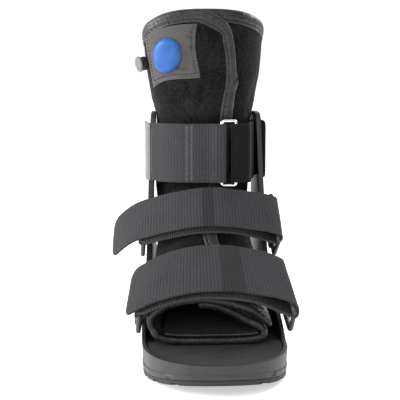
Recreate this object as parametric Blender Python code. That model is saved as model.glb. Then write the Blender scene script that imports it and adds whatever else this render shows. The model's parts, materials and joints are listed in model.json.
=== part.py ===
"""A short ankle-height walking boot: an open-toed padded liner that wraps round the leg, held by three
straps in a moulded shell with two uprights, on a rocker sole. Metres, +Z up, toe towards -Y.
The origin is on the floor, under the sole's middle, on the lug face between forefoot and heel."""

import math
from bisect import bisect_right
from collections import namedtuple

import bmesh
import bpy
from mathutils import Matrix, Vector

MM = 0.001

# The sole: its outline, its rocker and its layers.
SOLE_FRONT = 145 * MM
SOLE_BACK = 120 * MM
BALL_WIDTH = 116 * MM
HEEL_WIDTH = 96 * MM
TOE_ARC = 80 * MM
HEEL_ARC = 42 * MM
BALL_Y = TOE_ARC - SOLE_FRONT
HEEL_Y = SOLE_BACK - HEEL_ARC
TIP_HALF = 1.5 * MM
TOE_POWER = 2.2
HEEL_POWER = 2.3
TOE_SPRING = 9 * MM
TOE_BEND = 65 * MM
HEEL_LIFT = 4 * MM
HEEL_BEND = 96 * MM
ARCH_RISE = 1.6 * MM
ARCH_MIDDLE = 27 * MM
ARCH_HALF = 20 * MM
TREAD = 3.8 * MM
TREAD_INSET = 0.8 * MM
LUG_DEPTH = 1.8 * MM
GROOVE = 5 * MM
GROOVE_SLOPE = 0.8 * MM
LUG_PITCH = 20 * MM
CLEAR = 0.3 * MM

# The heights and widths that the upper parts share.
COLLAR_HEIGHT = 290 * MM
TOP_STRAP_WIDTH = 50 * MM
TOP_STRAP_LOW = 0.493 * COLLAR_HEIGHT
SLOT_MARGIN = 8 * MM

# The shell: a tub round the footbed whose sides climb into two uprights.
RIM_HEIGHT = 22.6 * MM
RIM_SPRING = 1.4 * MM
SHELL_WALL = 3 * MM
UPRIGHT_WALL = 4 * MM
SHELL_DRAFT = 1.3 * MM
UPRIGHT_HEIGHT = TOP_STRAP_LOW + TOP_STRAP_WIDTH + SLOT_MARGIN
UPRIGHT_Y = 56 * MM
UPRIGHT_WIDTH = 38 * MM
UPRIGHT_BULGE = 1.6 * MM
UPRIGHT_FLARE = -2.0 * MM
HEEL_CUP_HEIGHT = 54 * MM
SLOT_Y = 62 * MM
SLOT_WIDTH = 4.6 * MM
FOOTBED_TOP = 22 * MM

# The liner: a padded sheet that starts inside the front, goes round the leg and laps over itself.
LINER_FRONT = 74 * MM
LINER_BACK = 111 * MM
LINER_WIDTH = 102 * MM
LINER_WALL = 4 * MM
BINDING_WIDTH = 8 * MM
BINDING_RISE = 0.8 * MM
LAP_ANGLE = 48.0
LAP_GAP = 2.0 * MM
LAP_RAMP_START = -100.0
LAP_RAMP = 45.0
INSOLE_THICKNESS = 2.6 * MM
INSOLE_SPREAD = 41.0
INSOLE_BACK_AT = 0.5
BINDING_STEP = 0.0015
TURN_STEP = 12.0
LAP_STEPS = 8

# The straps, their rings and the links that hold the rings to the shell.
STRAP_THICKNESS = 2 * MM
LAYER_GAP = 0.6 * MM
LOW_STRAP_WIDTH = 50 * MM
MID_STRAP_WIDTH = 38 * MM
RING_BAR = 4 * MM
METAL_RING_WIRE = 3 * MM
METAL_RING_SPAN = 12 * MM
METAL_RING_CORNER = 2.2 * MM
METAL_RING_X = 17.5 * MM
RING_CORNER = 3.2 * MM
RING_CLEAR = 1.5 * MM
BAR_CLEAR = 0.6 * MM
LINK_WIDTH = 20 * MM
LINK_THICKNESS = 2 * MM
LINK_REACH = 18 * MM

# The air pump on its patch, and the release valve beside it.
PATCH_THICKNESS = 1 * MM
PUMP_HEIGHT = 30 * MM
PUMP_WIDTH = 24 * MM
PUMP_RISE = 2.8 * MM
PUMP_RIM = 0.8 * MM
PUMP_CROWN = 4
VALVE_DIAMETER = 12 * MM
VALVE_SEAT = 1.1 * MM
VALVE_LENGTH = 3.6 * MM
VALVE_FLOOR = 1.2 * MM
BUTTON_DIAMETER = 13.5 * MM
BUTTON_THICKNESS = 2.2 * MM
BUTTON_STEM = 5 * MM
BUTTON_TRAVEL = 1.2 * MM
BORE_CLEAR = 0.4 * MM

# One row for each section of the liner, from the toe opening to the collar. Lengths are shares:
# y of the liner's length behind the toe opening, z of its height above the footbed, width of half
# its width. The powers shape the section's left, right and lower parts, and belly is where it is
# widest. Shift moves it all sideways and lean its top, in half widths. Flap is where the outer flap
# ends, in degrees to the right, lap where the inner one ends, to the left, and tuck its dip in mm.
# Sag is how far the left side hangs, in mm; the right side hangs by a share of it.
Section = namedtuple(
    "Section", "at top_y top_z back_y back_z width left right low belly shift lean flap lap tuck sag"
)
LINER_SECTIONS = [
    Section(0.00, 0.010, 0.147, 0.000, 0.000, 0.885, 1.8, 1.75, 4.0, 0.36, -0.04, -0.22, 96, 0, 5.5, 0),
    Section(0.07, 0.076, 0.180, 0.065, 0.000, 0.905, 1.85, 1.8, 4.2, 0.38, -0.03, -0.15, 72, 12, 2.5, 0),
    Section(0.16, 0.173, 0.231, 0.195, 0.000, 0.910, 2.0, 2.0, 4.2, 0.40, -0.02, -0.08, 34, 30, 0, 0),
    Section(0.25, 0.259, 0.279, 0.357, 0.000, 0.890, 2.1, 2.1, 4.0, 0.42, 0.00, 0.00, 8, 44, 0, 0),
    Section(0.34, 0.335, 0.339, 0.535, 0.000, 0.855, 2.1, 2.1, 4.0, 0.44, 0.00, 0.00, 5, 48, 0, 0),
    Section(0.43, 0.400, 0.393, 0.724, 0.000, 0.805, 2.1, 2.1, 3.6, 0.46, 0.00, 0.00, 8, 48, 0, 0),
    Section(0.51, 0.452, 0.436, 0.900, 0.014, 0.770, 2.1, 2.1, 3.0, 0.48, 0.00, 0.00, 13, 48, 0, 0),
    Section(0.58, 0.474, 0.484, 0.980, 0.096, 0.760, 2.1, 2.1, 2.5, 0.50, -0.01, 0.00, 19, 48, 0, 0),
    Section(0.66, 0.478, 0.551, 0.995, 0.234, 0.765, 2.1, 2.1, 2.3, 0.50, -0.02, 0.00, 26, 48, 0, 0),
    Section(0.74, 0.478, 0.633, 0.968, 0.410, 0.765, 2.1, 2.1, 2.2, 0.50, -0.015, 0.00, 27, 48, 0, 0),
    Section(0.82, 0.465, 0.723, 0.946, 0.574, 0.772, 2.1, 2.1, 2.2, 0.50, 0.00, 0.00, 29, 48, 0, 0),
    Section(0.86, 0.457, 0.776, 0.950, 0.650, 0.855, 2.1, 2.1, 2.2, 0.50, -0.01, 0.00, 29, 48, 0, 1),
    Section(0.91, 0.443, 0.843, 0.957, 0.742, 0.945, 2.2, 2.1, 2.2, 0.50, 0.00, 0.00, 26, 48, 0, 3),
    Section(0.97, 0.430, 0.950, 0.970, 0.852, 0.990, 2.6, 2.2, 2.2, 0.50, 0.00, 0.00, 19, 48, 0, 7),
    Section(1.00, 0.427, 1.000, 0.978, 0.896, 0.990, 2.6, 2.3, 2.2, 0.50, 0.00, 0.00, 8, 48, 0, 9),
]
TUCK_FROM, TUCK_TO = -262.0, -352.0
SAG_RIGHT = 0.25
SAG_POWER = 4

# One row for each bend in the top edge of the shell, from the toe to the heel. The y before the
# upright is a share of the way from the ball to its front edge, and after it, of the way from its
# back edge to the heel; the height is a share of the way from the rim to the upright's top.
Edge = namedtuple("Edge", "way height")
SHELL_EDGE_FRONT = [
    Edge(0.00, 0.000),
    Edge(0.10, 0.030),
    Edge(0.27, 0.080),
    Edge(0.45, 0.125),
    Edge(0.62, 0.190),
    Edge(0.75, 0.275),
    Edge(0.87, 0.410),
    Edge(0.94, 0.590),
    Edge(0.985, 0.800),
    Edge(1.00, 0.965),
]
SHELL_EDGE_BACK = [
    Edge(0.00, 0.965),
    Edge(0.06, 0.780),
    Edge(0.18, 0.560),
    Edge(0.40, 0.340),
    Edge(0.62, 0.225),
]

# One row for each of the two foot straps: where its middle lies along the liner's sections, how far
# its rings stand from the middle, how far its ends drop and slide forward, how they splay, the
# power of its arch, its ridge and its free tail, and the place of each ring's lower bar.
FootStrap = namedtuple(
    "FootStrap",
    "name at width ring_x drop slide splay arch ridge lift tail tail_drop bar_x bar_y bar_z",
)
FOOT_STRAPS = [
    FootStrap(
        "low", 0.105, LOW_STRAP_WIDTH, 0.5 * BALL_WIDTH, 11 * MM, 10 * MM, 0.14, 2.1, 4 * MM,
        0.9 * MM, 10 * MM, 0.3, 0.498 * BALL_WIDTH, -50 * MM, 0.159 * COLLAR_HEIGHT,
    ),
    FootStrap(
        "mid", 0.385, MID_STRAP_WIDTH, 0.482 * BALL_WIDTH, 17 * MM, 2 * MM, 0.06, 1.45, 3 * MM,
        0.5 * MM, 26 * MM, 0.75, 0.476 * BALL_WIDTH, 14 * MM, 0.331 * COLLAR_HEIGHT,
    ),
]


def follow(rows, column, at):
    """The value of one column at a place in a table, on a smooth curve through its rows."""
    places = [row[0] for row in rows]
    values = [getattr(row, column) for row in rows]
    last = len(rows) - 1
    i = min(max(bisect_right(places, at) - 1, 0), last - 1)

    def slope(k):
        a, b = max(k - 1, 0), min(k + 1, last)
        return (values[b] - values[a]) / (places[b] - places[a])

    span = places[i + 1] - places[i]
    t = min(max((at - places[i]) / span, 0.0), 1.0)
    h = (2 * t**3 - 3 * t**2 + 1, t**3 - 2 * t**2 + t, 3 * t**2 - 2 * t**3, t**3 - t**2)
    return h[0] * values[i] + h[1] * span * slope(i) + h[2] * values[i + 1] + h[3] * span * slope(i + 1)


def ease(t):
    """A soft step from 0 to 1."""
    t = min(max(t, 0.0), 1.0)
    return t * t * (3 - 2 * t)


def material(name, colour, roughness, metallic=0.0):
    mat = bpy.data.materials.new(name)
    mat.use_nodes = True
    shader = mat.node_tree.nodes["Principled BSDF"]
    shader.inputs["Base Color"].default_value = (*colour, 1.0)
    shader.inputs["Roughness"].default_value = roughness
    shader.inputs["Metallic"].default_value = metallic
    return mat


def add_object(name, bm, mat):
    """One closed body from a bmesh, facing outwards and shaded smooth."""
    bmesh.ops.remove_doubles(bm, verts=bm.verts, dist=1e-6)
    bmesh.ops.recalc_face_normals(bm, faces=bm.faces)
    mesh = bpy.data.meshes.new(name)
    bm.to_mesh(mesh)
    bm.free()
    mesh.materials.append(mat)
    mesh.shade_smooth()
    mesh.set_sharp_from_angle(angle=math.radians(35))
    obj = bpy.data.objects.new(name, mesh)
    bpy.context.scene.collection.objects.link(obj)
    return obj


def bridge(bm, ring_a, ring_b, closed=True):
    """Quads between two rows of vertices that have as many points."""
    count = len(ring_a)
    for i in range(count if closed else count - 1):
        j = (i + 1) % count
        bm.faces.new((ring_a[i], ring_a[j], ring_b[j], ring_b[i]))


def loft(rings, closed=False):
    """A closed skin through rings of points, with flat ends, or round to its start again."""
    bm = bmesh.new()
    loops = [[bm.verts.new(point) for point in ring] for ring in rings]
    for one, two in zip(loops, loops[1:]):
        bridge(bm, one, two)
    if closed:
        bridge(bm, loops[-1], loops[0])
    else:
        bm.faces.new(list(reversed(loops[0])))
        bm.faces.new(loops[-1])
    return bm


def ribbon(name, stations, width, thickness, mat):
    """A strap of one width along stations of (middle, normal, width direction)."""
    rings = []
    for middle, normal, across in stations:
        n = normal.normalized() * thickness / 2
        w = across.normalized() * width / 2
        rings.append([middle + n - w, middle + n + w, middle - n + w, middle - n - w])
    return add_object(name, loft(rings), mat)


def along_path(points, across):
    """Ribbon stations along a path, each with the normal that its direction and the width give."""
    stations = []
    for i, point in enumerate(points):
        before = points[max(i - 1, 0)]
        after = points[min(i + 1, len(points) - 1)]
        width_way = across[i] if isinstance(across, list) else across
        stations.append((point, (after - before).cross(width_way), width_way))
    return stations


def smooth_path(points, steps):
    """A curve through the given points, read at even steps between each two."""
    rows = [(i, *point) for i, point in enumerate(points)]
    Row = namedtuple("Row", "at x y z")
    rows = [Row(*row) for row in rows]
    out = []
    for k in range((len(points) - 1) * steps + 1):
        at = k / steps
        out.append(Vector([follow(rows, axis, at) for axis in ("x", "y", "z")]))
    return out


# The sole.


def outline_at(column, inset=0.0):
    """A point of the sole's right outline, moved inwards. A column is a stretch and a place on it."""
    stretch, place = column
    if stretch == "toe":
        x = (BALL_WIDTH / 2 - inset) * math.sin(place) ** (2 / TOE_POWER)
        return x, BALL_Y - (TOE_ARC - inset) * max(math.cos(place), 0.0) ** (2 / TOE_POWER)
    if stretch == "side":
        way = (place - BALL_Y) / (HEEL_Y - BALL_Y)
        return BALL_WIDTH / 2 + (HEEL_WIDTH - BALL_WIDTH) / 2 * ease(way) - inset, place
    x = (HEEL_WIDTH / 2 - inset) * math.sin(place) ** (2 / HEEL_POWER)
    return x, HEEL_Y + (HEEL_ARC - inset) * max(math.cos(place), 0.0) ** (2 / HEEL_POWER)


def outline_columns(side_ys, toe_steps=9, heel_steps=7):
    """Columns from the toe tip to the heel tip, with chosen places along the straight side."""
    quarter = math.pi / 2
    columns = [("toe", quarter * i / toe_steps) for i in range(toe_steps)]
    columns += [("side", y) for y in sorted(side_ys)]
    return columns + [("heel", quarter * (1 - i / heel_steps)) for i in range(1, heel_steps + 1)]


def half_width_at(y, inset=0.0):
    """The outline's half width at one y."""
    if y < BALL_Y:
        share = min((BALL_Y - y) / (TOE_ARC - inset), 1.0)
        return (BALL_WIDTH / 2 - inset) * (1 - share**TOE_POWER) ** (1 / TOE_POWER)
    if y > HEEL_Y:
        share = min((y - HEEL_Y) / (HEEL_ARC - inset), 1.0)
        return (HEEL_WIDTH / 2 - inset) * (1 - share**HEEL_POWER) ** (1 / HEEL_POWER)
    return outline_at(("side", y), inset)[0]


def sole_bottom(y):
    """The rocker line under the sole: flat under forefoot and heel, with toe spring and heel lift."""
    toe = max(0.0, (-TOE_BEND - y) / (SOLE_FRONT - TOE_BEND))
    heel = max(0.0, (y - HEEL_BEND) / (SOLE_BACK - HEEL_BEND))
    return TOE_SPRING * toe**2 + HEEL_LIFT * heel**2


def arch_rise(y):
    """How far the tread's underside is cut away between the two flat spots."""
    return ARCH_RISE * ease(1 - abs(y - ARCH_MIDDLE) / ARCH_HALF)


def rim_height(y):
    """The top of the band round the toe."""
    toe = max(0.0, (-TOE_BEND - y) / (SOLE_FRONT - TOE_BEND))
    return RIM_HEIGHT + RIM_SPRING * toe**2


def make_outsole(mat):
    """The rubber tread, a slab with its lugs standing between cross grooves."""
    columns = outline_columns([BALL_Y + (HEEL_Y - BALL_Y) * k / 8 for k in range(9)])
    tips = (outline_at(columns[0], TREAD_INSET)[1], outline_at(columns[-1], TREAD_INSET)[1])
    rows = [(outline_at(column, TREAD_INSET)[1], 0.0) for column in columns]
    keep = GROOVE / 2 + GROOVE_SLOPE * 2
    first = math.ceil((tips[0] + 3 * keep) / LUG_PITCH - 0.5)
    last = math.floor((tips[1] - 2 * keep) / LUG_PITCH - 0.5)
    for k in range(first, last + 1):
        middle = (k + 0.5) * LUG_PITCH
        rows = [row for row in rows if abs(row[0] - middle) > keep]
        for edge in (-1, 1):
            rows.append((middle + edge * (GROOVE / 2 + GROOVE_SLOPE), 0.0))
            rows.append((middle + edge * GROOVE / 2, LUG_DEPTH))
    rings = []
    for y, cut in sorted(rows):
        half = max(half_width_at(y, TREAD_INSET), TIP_HALF)
        chamfer = min(GROOVE_SLOPE, half / 3)
        low = sole_bottom(y) + max(cut, arch_rise(y))
        top = sole_bottom(y) + TREAD
        rings.append(
            [
                Vector((-half + chamfer, y, low)),
                Vector((half - chamfer, y, low)),
                Vector((half, y, low + chamfer)),
                Vector((half, y, top)),
                Vector((-half, y, top)),
                Vector((-half, y, low + chamfer)),
            ]
        )
    return add_object("outsole", loft(rings), mat)


def make_footbed(mat):
    """The foam that fills the tub, with its top just under the rim."""
    rings = []
    for column in shell_columns():
        y = outline_at(column)[1]
        low = sole_bottom(y) + TREAD + CLEAR + SHELL_WALL + CLEAR
        top = FOOTBED_TOP + rim_height(y) - RIM_HEIGHT
        corners = []
        for z in (low, top):
            half, at_y = outline_at(column, SHELL_WALL + CLEAR - shell_bulge(z))
            corners.append((max(half, TIP_HALF), at_y, z))
        (x0, y0, z0), (x1, y1, z1) = corners
        rings.append([Vector((-x0, y0, z0)), Vector((x0, y0, z0)), Vector((x1, y1, z1)), Vector((-x1, y1, z1))])
    return add_object("footbed", loft(rings), mat)


def shell_top(y):
    """The top edge of the shell: the toe rim, the climbing sides, the upright and the heel cup."""
    front, back = upright_edges()
    climb = UPRIGHT_HEIGHT - RIM_HEIGHT
    if y <= -TOE_BEND:
        return rim_height(y)
    if y < front:
        way = (y + TOE_BEND) / (front + TOE_BEND)
        return RIM_HEIGHT + climb * follow(SHELL_EDGE_FRONT, "height", way)
    if y <= back:
        across = abs(y - UPRIGHT_Y) / (UPRIGHT_WIDTH / 2)
        corner = SHELL_EDGE_FRONT[-1].height
        return RIM_HEIGHT + climb * (corner + (1 - corner) * (1 - across**6))
    way = (y - back) / (SOLE_BACK - back)
    cup = Edge(1.0, (HEEL_CUP_HEIGHT - RIM_HEIGHT) / climb)
    return RIM_HEIGHT + climb * follow([*SHELL_EDGE_BACK, cup], "height", way)


def shell_bulge(z):
    """How far the side of the shell stands out from the sole's outline at one height."""
    draft = -SHELL_DRAFT * max(1 - z / RIM_HEIGHT, 0.0)
    share = (z - RIM_HEIGHT) / (UPRIGHT_HEIGHT - RIM_HEIGHT)
    if share <= 0:
        return draft
    share = min(share, 1.0)
    return UPRIGHT_BULGE * math.sin(math.pi * share**0.9) + UPRIGHT_FLARE * share


def wall_at(z):
    """The shell's wall, thin round the foot and thicker up the uprights."""
    return SHELL_WALL + (UPRIGHT_WALL - SHELL_WALL) * ease((z - RIM_HEIGHT) / HEEL_CUP_HEIGHT)


def upright_edges():
    return UPRIGHT_Y - UPRIGHT_WIDTH / 2, UPRIGHT_Y + UPRIGHT_WIDTH / 2


def shell_columns():
    """The outline's columns for the shell, closer together where its top edge is steep."""
    front, back = upright_edges()
    steep = [BALL_Y]
    steep += [-TOE_BEND + (front + TOE_BEND) * row.way for row in SHELL_EDGE_FRONT[1:]]
    steep += [front + UPRIGHT_WIDTH * share for share in (0.04, 0.14, 0.5, 0.86, 0.96)]
    steep += [back, HEEL_Y]
    way = (HEEL_Y - back) / (SOLE_BACK - back)
    steep += [back + (SOLE_BACK - back) * row.way for row in SHELL_EDGE_BACK if 0 < row.way < way]
    return outline_columns([y for y in steep if BALL_Y <= y <= HEEL_Y])


def make_shell(mat):
    """The moulded tub and uprights, with a strap slot cut through each upright."""
    shares = [0.0, 0.14, 0.3, 0.48, 0.66, 0.82, 0.93, 1.0]
    columns = shell_columns()

    def points_of(column, side, inset):
        y = outline_at(column)[1]
        low = sole_bottom(y) + TREAD + CLEAR + inset
        points = []
        for share in shares:
            z = low + (shell_top(y) - low) * share
            x, at_y = outline_at(column, (wall_at(z) if inset else 0.0) - shell_bulge(z))
            points.append(Vector((side * x, at_y, z)))
        return points

    order = [(column, 1) for column in columns] + [(column, -1) for column in reversed(columns[1:-1])]
    count = len(columns)
    bm = bmesh.new()
    walls = []
    for inset in (0.0, SHELL_WALL):
        grid = [[bm.verts.new(p) for p in points_of(column, side, inset)] for column, side in order]
        for one, two in zip(grid, grid[1:] + grid[:1]):
            bridge(bm, one, two, closed=False)
        walls.append(grid)
        rights = [grid[i][0] for i in range(count)]
        lefts = [grid[-i][0] for i in range(count - 1)] + [grid[count - 1][0]]
        for i in range(count - 1):
            corners = [rights[i], rights[i + 1], lefts[i + 1], lefts[i]]
            bm.faces.new(list(dict.fromkeys(corners)))
    outer, inner = walls
    for i in range(len(order)):
        j = (i + 1) % len(order)
        bm.faces.new((outer[i][-1], outer[j][-1], inner[j][-1], inner[i][-1]))
    shell = add_object("shell", bm, mat)

    top = top_strap_middle().z + TOP_STRAP_WIDTH / 2 + CLEAR * 5
    low = top_strap_middle().z - TOP_STRAP_WIDTH / 2 - CLEAR * 5
    for side, name in ((-1, "slot_cut_left"), (1, "slot_cut_right")):
        bm = bmesh.new()
        bmesh.ops.create_cube(bm, size=1.0)
        bmesh.ops.scale(bm, verts=bm.verts, vec=(UPRIGHT_WALL * 5, SLOT_WIDTH, top - low))
        place = Vector((side * HEEL_WIDTH / 2, SLOT_Y, (top + low) / 2))
        bmesh.ops.translate(bm, verts=bm.verts, vec=place)
        cutter = add_object(name, bm, mat)
        cutter.hide_render = True
        cutter.display_type = "WIRE"
        cut = shell.modifiers.new(name, "BOOLEAN")
        cut.operation = "DIFFERENCE"
        cut.solver = "EXACT"
        cut.object = cutter
    return shell


# The liner.


def liner_y(share):
    return -LINER_FRONT + (LINER_FRONT + LINER_BACK) * share


def liner_z(share):
    base = FOOTBED_TOP + CLEAR + BINDING_RISE
    return base + (COLLAR_HEIGHT - base) * share


def liner_top(at):
    """The outermost line over the toe, up the instep and the shin."""
    return Vector((0, liner_y(follow(LINER_SECTIONS, "top_y", at)), liner_z(follow(LINER_SECTIONS, "top_z", at))))


def liner_back(at):
    """The line under the foot, round the heel and up the back."""
    z = max(follow(LINER_SECTIONS, "back_z", at), 0.0)
    return Vector((0, liner_y(follow(LINER_SECTIONS, "back_y", at)), liner_z(z)))


def lap_rise(angle):
    """How far the outer flap stands off the inner one at an angle, in degrees from the front."""
    return (LINER_WALL + LAP_GAP) * ease((angle - LAP_RAMP_START) / LAP_RAMP)


def liner_base(at, angle):
    """The outside without the lap. The angle is 0 at the front, in degrees, positive to the right."""
    top, back = liner_top(at), liner_back(at)
    up = (top - back).normalized()
    ahead = (liner_top(at + 0.02) - liner_top(at - 0.02)).normalized()
    square = abs(up.cross(ahead).x)
    depth = (top - back).length - (LINER_WALL + LAP_GAP) / square
    belly = follow(LINER_SECTIONS, "belly", at) * depth
    half = LINER_WIDTH / 2 * follow(LINER_SECTIONS, "width", at)
    c, s = math.cos(math.radians(angle)), math.sin(math.radians(angle))
    shape = "low" if c < 0 else ("right" if s > 0 else "left")
    power = follow(LINER_SECTIONS, shape, at)
    r = (abs(c) ** power + abs(s) ** power) ** (-1 / power)
    height = belly + (depth - belly if c > 0 else belly) * c * r
    lean = follow(LINER_SECTIONS, "lean", at) * height / depth
    side = half * (s * r + follow(LINER_SECTIONS, "shift", at) + lean)
    sag = max(follow(LINER_SECTIONS, "sag", at), 0.0) * MM * abs(s * r) ** SAG_POWER
    return back + up * height + Vector((side, 0, -sag * (SAG_RIGHT if s > 0 else 1.0)))


def liner_normal(at, angle):
    step = 0.004
    along = liner_base(min(at + step, 1), angle) - liner_base(max(at - step, 0), angle)
    round_it = liner_base(at, angle + 1) - liner_base(at, angle - 1)
    return round_it.cross(along).normalized()


def inner_dip(at, angle):
    """How far the inner flap dips on the right of the toe opening."""
    way = (angle - TUCK_FROM) / (TUCK_TO - TUCK_FROM)
    return max(follow(LINER_SECTIONS, "tuck", at), 0.0) * MM * ease(2 * way) * ease(2 - 2 * way)


def liner_point(at, angle, out=0.0):
    """A point of the liner's outside, on the outer flap where the two flaps lap."""
    lift = lap_rise(angle) - inner_dip(at, angle) + out
    return liner_base(at, angle) + liner_normal(at, angle) * lift


def binding_share():
    """The binding's width as a share of the way along the liner's sections."""
    length = sum((liner_top(k / 20) - liner_top((k + 1) / 20)).length for k in range(20))
    return BINDING_WIDTH / length


def liner_stations():
    edge = binding_share()
    inner = [0.045, 0.07, 0.10, 0.15, 0.2, 0.25, 0.3, 0.35, 0.4, 0.45, 0.5, 0.545]
    inner += [0.59, 0.64, 0.69, 0.74, 0.79, 0.84, 0.885, 0.93]
    return [0.0, edge, edge + BINDING_STEP, *inner, 1 - edge - BINDING_STEP, 1 - edge, 1.0]


def liner_angles(at):
    """The angles of one section's points: across the free edge of the flap, then in even steps."""
    flap = follow(LINER_SECTIONS, "flap", at)
    half = LINER_WIDTH / 2 * follow(LINER_SECTIONS, "width", at)
    bound = flap - math.degrees(BINDING_WIDTH / half)
    first = -TURN_STEP
    angles = [flap, bound, bound - 1.0]
    angles += [bound - 1.0 + (first - bound + 1.0) * k / LAP_STEPS for k in range(1, LAP_STEPS + 1)]
    tail = 8
    steps = round((360 + LAP_ANGLE) / TURN_STEP)
    angles += [-TURN_STEP * k for k in range(2, steps - tail + 1)]
    last, end = angles[-1], -360 - max(follow(LINER_SECTIONS, "lap", at), 0.0)
    return angles + [last + (end - last) * k / tail for k in range(1, tail + 1)]


def make_liner(mat):
    """The wrapped wall. Its bound edges are a step thicker than the rest."""
    edge = binding_share()
    bm = bmesh.new()
    layers = []
    for inner in (False, True):
        grid = []
        for at in liner_stations():
            row = []
            for k, angle in enumerate(liner_angles(at)):
                bound = at <= edge or at >= 1 - edge or k <= 1
                rise = BINDING_RISE if bound else 0.0
                depth = -LINER_WALL if inner else rise
                row.append(bm.verts.new(liner_point(at, angle, depth)))
            grid.append(row)
        for one, two in zip(grid, grid[1:]):
            bridge(bm, one, two, closed=False)
        layers.append(grid)
    outer, lining = layers
    for k in (0, -1):
        bridge(bm, outer[k], lining[k], closed=False)
        bridge(bm, [row[k] for row in outer], [row[k] for row in lining], closed=False)
    return add_object("liner", bm, mat)


def make_insole(mat):
    """A pad on the liner's floor, from the toe opening to the heel, cupped as the floor is."""
    stations = [at for at in liner_stations() if at <= INSOLE_BACK_AT]
    low = LINER_WALL + CLEAR * 3
    rings = []
    for at in [0.006, *stations[1:]]:
        share = at / INSOLE_BACK_AT
        spread = INSOLE_SPREAD * max(1 - share**5, 0.02) ** 0.5
        angles = [-180 + spread * (k / 4 - 1) for k in range(9)]
        under = [liner_point(at, angle, -low) for angle in angles]
        over = [point + Vector((0, 0, INSOLE_THICKNESS)) for point in under]
        rings.append(under + over[::-1])
    return add_object("insole", loft(rings), mat)


# The foot straps.


def strap_frame(strap):
    """The middle of a foot strap on the liner's top line, its width direction and its normal."""
    step = 0.02
    middle = liner_top(strap.at)
    across = (liner_top(strap.at - step) - liner_top(strap.at + step)).normalized()
    normal = Vector((1, 0, 0)).cross(across).normalized()
    if normal.z < 0:
        normal = -normal
    return middle, across, normal


def strap_place(strap, u, layer):
    """A foot strap's middle line at u from -1 at the left ring to 1 at the right one."""
    middle, across, normal = strap_frame(strap)
    stack = strap.lift + BINDING_RISE + LAYER_GAP + STRAP_THICKNESS / 2
    stack += layer * (STRAP_THICKNESS + LAYER_GAP)
    off = u - strap.ridge / strap.ring_x
    reach = abs(off) / (1 + abs(strap.ridge) / strap.ring_x)
    soft = (reach**2 + 0.02) ** 0.5 - 0.02**0.5
    fall = strap.drop * soft ** strap.arch / (1.02**0.5 - 0.02**0.5) ** strap.arch
    place = middle + normal * (stack - fall) + across * strap.slide * u * u
    return place + Vector((strap.ring_x * u, 0, 0))


def strap_across(strap, u):
    """The strap's width direction, splayed outwards towards its low edge at the ends."""
    _, across, _ = strap_frame(strap)
    return (across + Vector((strap.splay * u, 0, 0))).normalized()


def ring_axis(strap, side):
    """The middle of a ring's strap bar, its direction, and the strap's direction out over it."""
    one, two = strap_place(strap, side * 0.94, 0), strap_place(strap, side, 0)
    across = strap_across(strap, side)
    out = (two - one).normalized()
    over = out.cross(across) * side
    over = over if over.z > 0 else -over
    turn = RING_BAR / 2 + BAR_CLEAR + STRAP_THICKNESS / 2
    bar = two - over * turn if side < 0 else two + over * (turn - STRAP_THICKNESS)
    return bar, across, out, over.normalized()


def make_foot_strap(strap, mat):
    """One strap: sewn round the left ring, over the foot, round the right ring and back to a tail."""
    turn = RING_BAR / 2 + BAR_CLEAR + STRAP_THICKNESS / 2
    left_bar, left_across, left_out, left_over = ring_axis(strap, -1)
    right_bar, right_across, right_out, right_over = ring_axis(strap, 1)
    points, across = [], []

    def add(point, width_way):
        points.append(point)
        across.append(width_way)

    stub = 6 * MM
    add(left_bar - left_over * (turn + 0.5 * MM) - left_out * stub, left_across)
    add(left_bar - left_over * turn - left_out * stub / 2, left_across)
    arc = 8
    for k in range(arc + 1):
        t = math.pi * k / arc
        add(left_bar - left_over * turn * math.cos(t) + left_out * turn * math.sin(t), left_across)
    steps = 16
    for k in range(steps + 1):
        u = 0.9 * (2 * k / steps - 1)
        shift = left_bar + left_over * turn - strap_place(strap, -1, 0)
        if u > 0:
            shift = right_bar - right_over * turn - strap_place(strap, 1, 0)
        add(strap_place(strap, u, 0) + shift * ease((abs(u) - 0.5) / 0.38), strap_across(strap, u))
    for k in range(arc + 1):
        t = math.pi * k / arc
        add(right_bar - right_over * turn * math.cos(t) + right_out * turn * math.sin(t), right_across)
    for k in range(steps + 1):
        u = 0.9 - 1.9 * k / steps
        shift = left_bar + left_over * (turn + STRAP_THICKNESS + LAYER_GAP) - strap_place(strap, -1, 1)
        if u > 0:
            shift = right_bar + right_over * turn - strap_place(strap, 1, 1)
        add(strap_place(strap, u, 1) + shift * ease((abs(u) - 0.5) / 0.38), strap_across(strap, u))
    start = points[-1]
    out = (points[-1] - points[-2]).normalized()
    for k in range(1, 5):
        t = k / 4
        add(start + (out + Vector((0, 0, -strap.tail_drop * t * 0.5))) * strap.tail * t, strap_across(strap, -1))
    return ribbon("strap_" + strap.name, along_path(points, across), strap.width, STRAP_THICKNESS, mat)


def tube_loop(points, radius, sides):
    """A round bar along a closed flat path."""
    middle = sum(points, Vector()) / len(points)
    flat = (points[0] - middle).cross(points[len(points) // 4] - middle).normalized()
    rings = []
    for i, point in enumerate(points):
        way = (points[(i + 1) % len(points)] - points[i - 1]).normalized()
        side = way.cross(flat)
        ring = []
        for k in range(sides):
            t = 2 * math.pi * k / sides
            ring.append(point + (side * math.cos(t) + flat * math.sin(t)) * radius)
        rings.append(ring)
    return loft(rings, closed=True)


def ring_path(near, far, across, length, corner):
    """A rounded rectangle whose two long bars are at near and far."""
    down = (far - near).normalized()
    height = (far - near).length
    centre = (near + far) / 2
    points = []
    for side_w, side_d, start in ((1, -1, 0), (1, 1, 90), (-1, 1, 180), (-1, -1, 270)):
        hub = centre + across * side_w * (length / 2 - corner) + down * side_d * (height / 2 - corner)
        for k in range(4):
            t = math.radians(start + 90 * k / 3)
            points.append(hub + (across * math.sin(t) - down * math.cos(t)) * corner)
    return points


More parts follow.
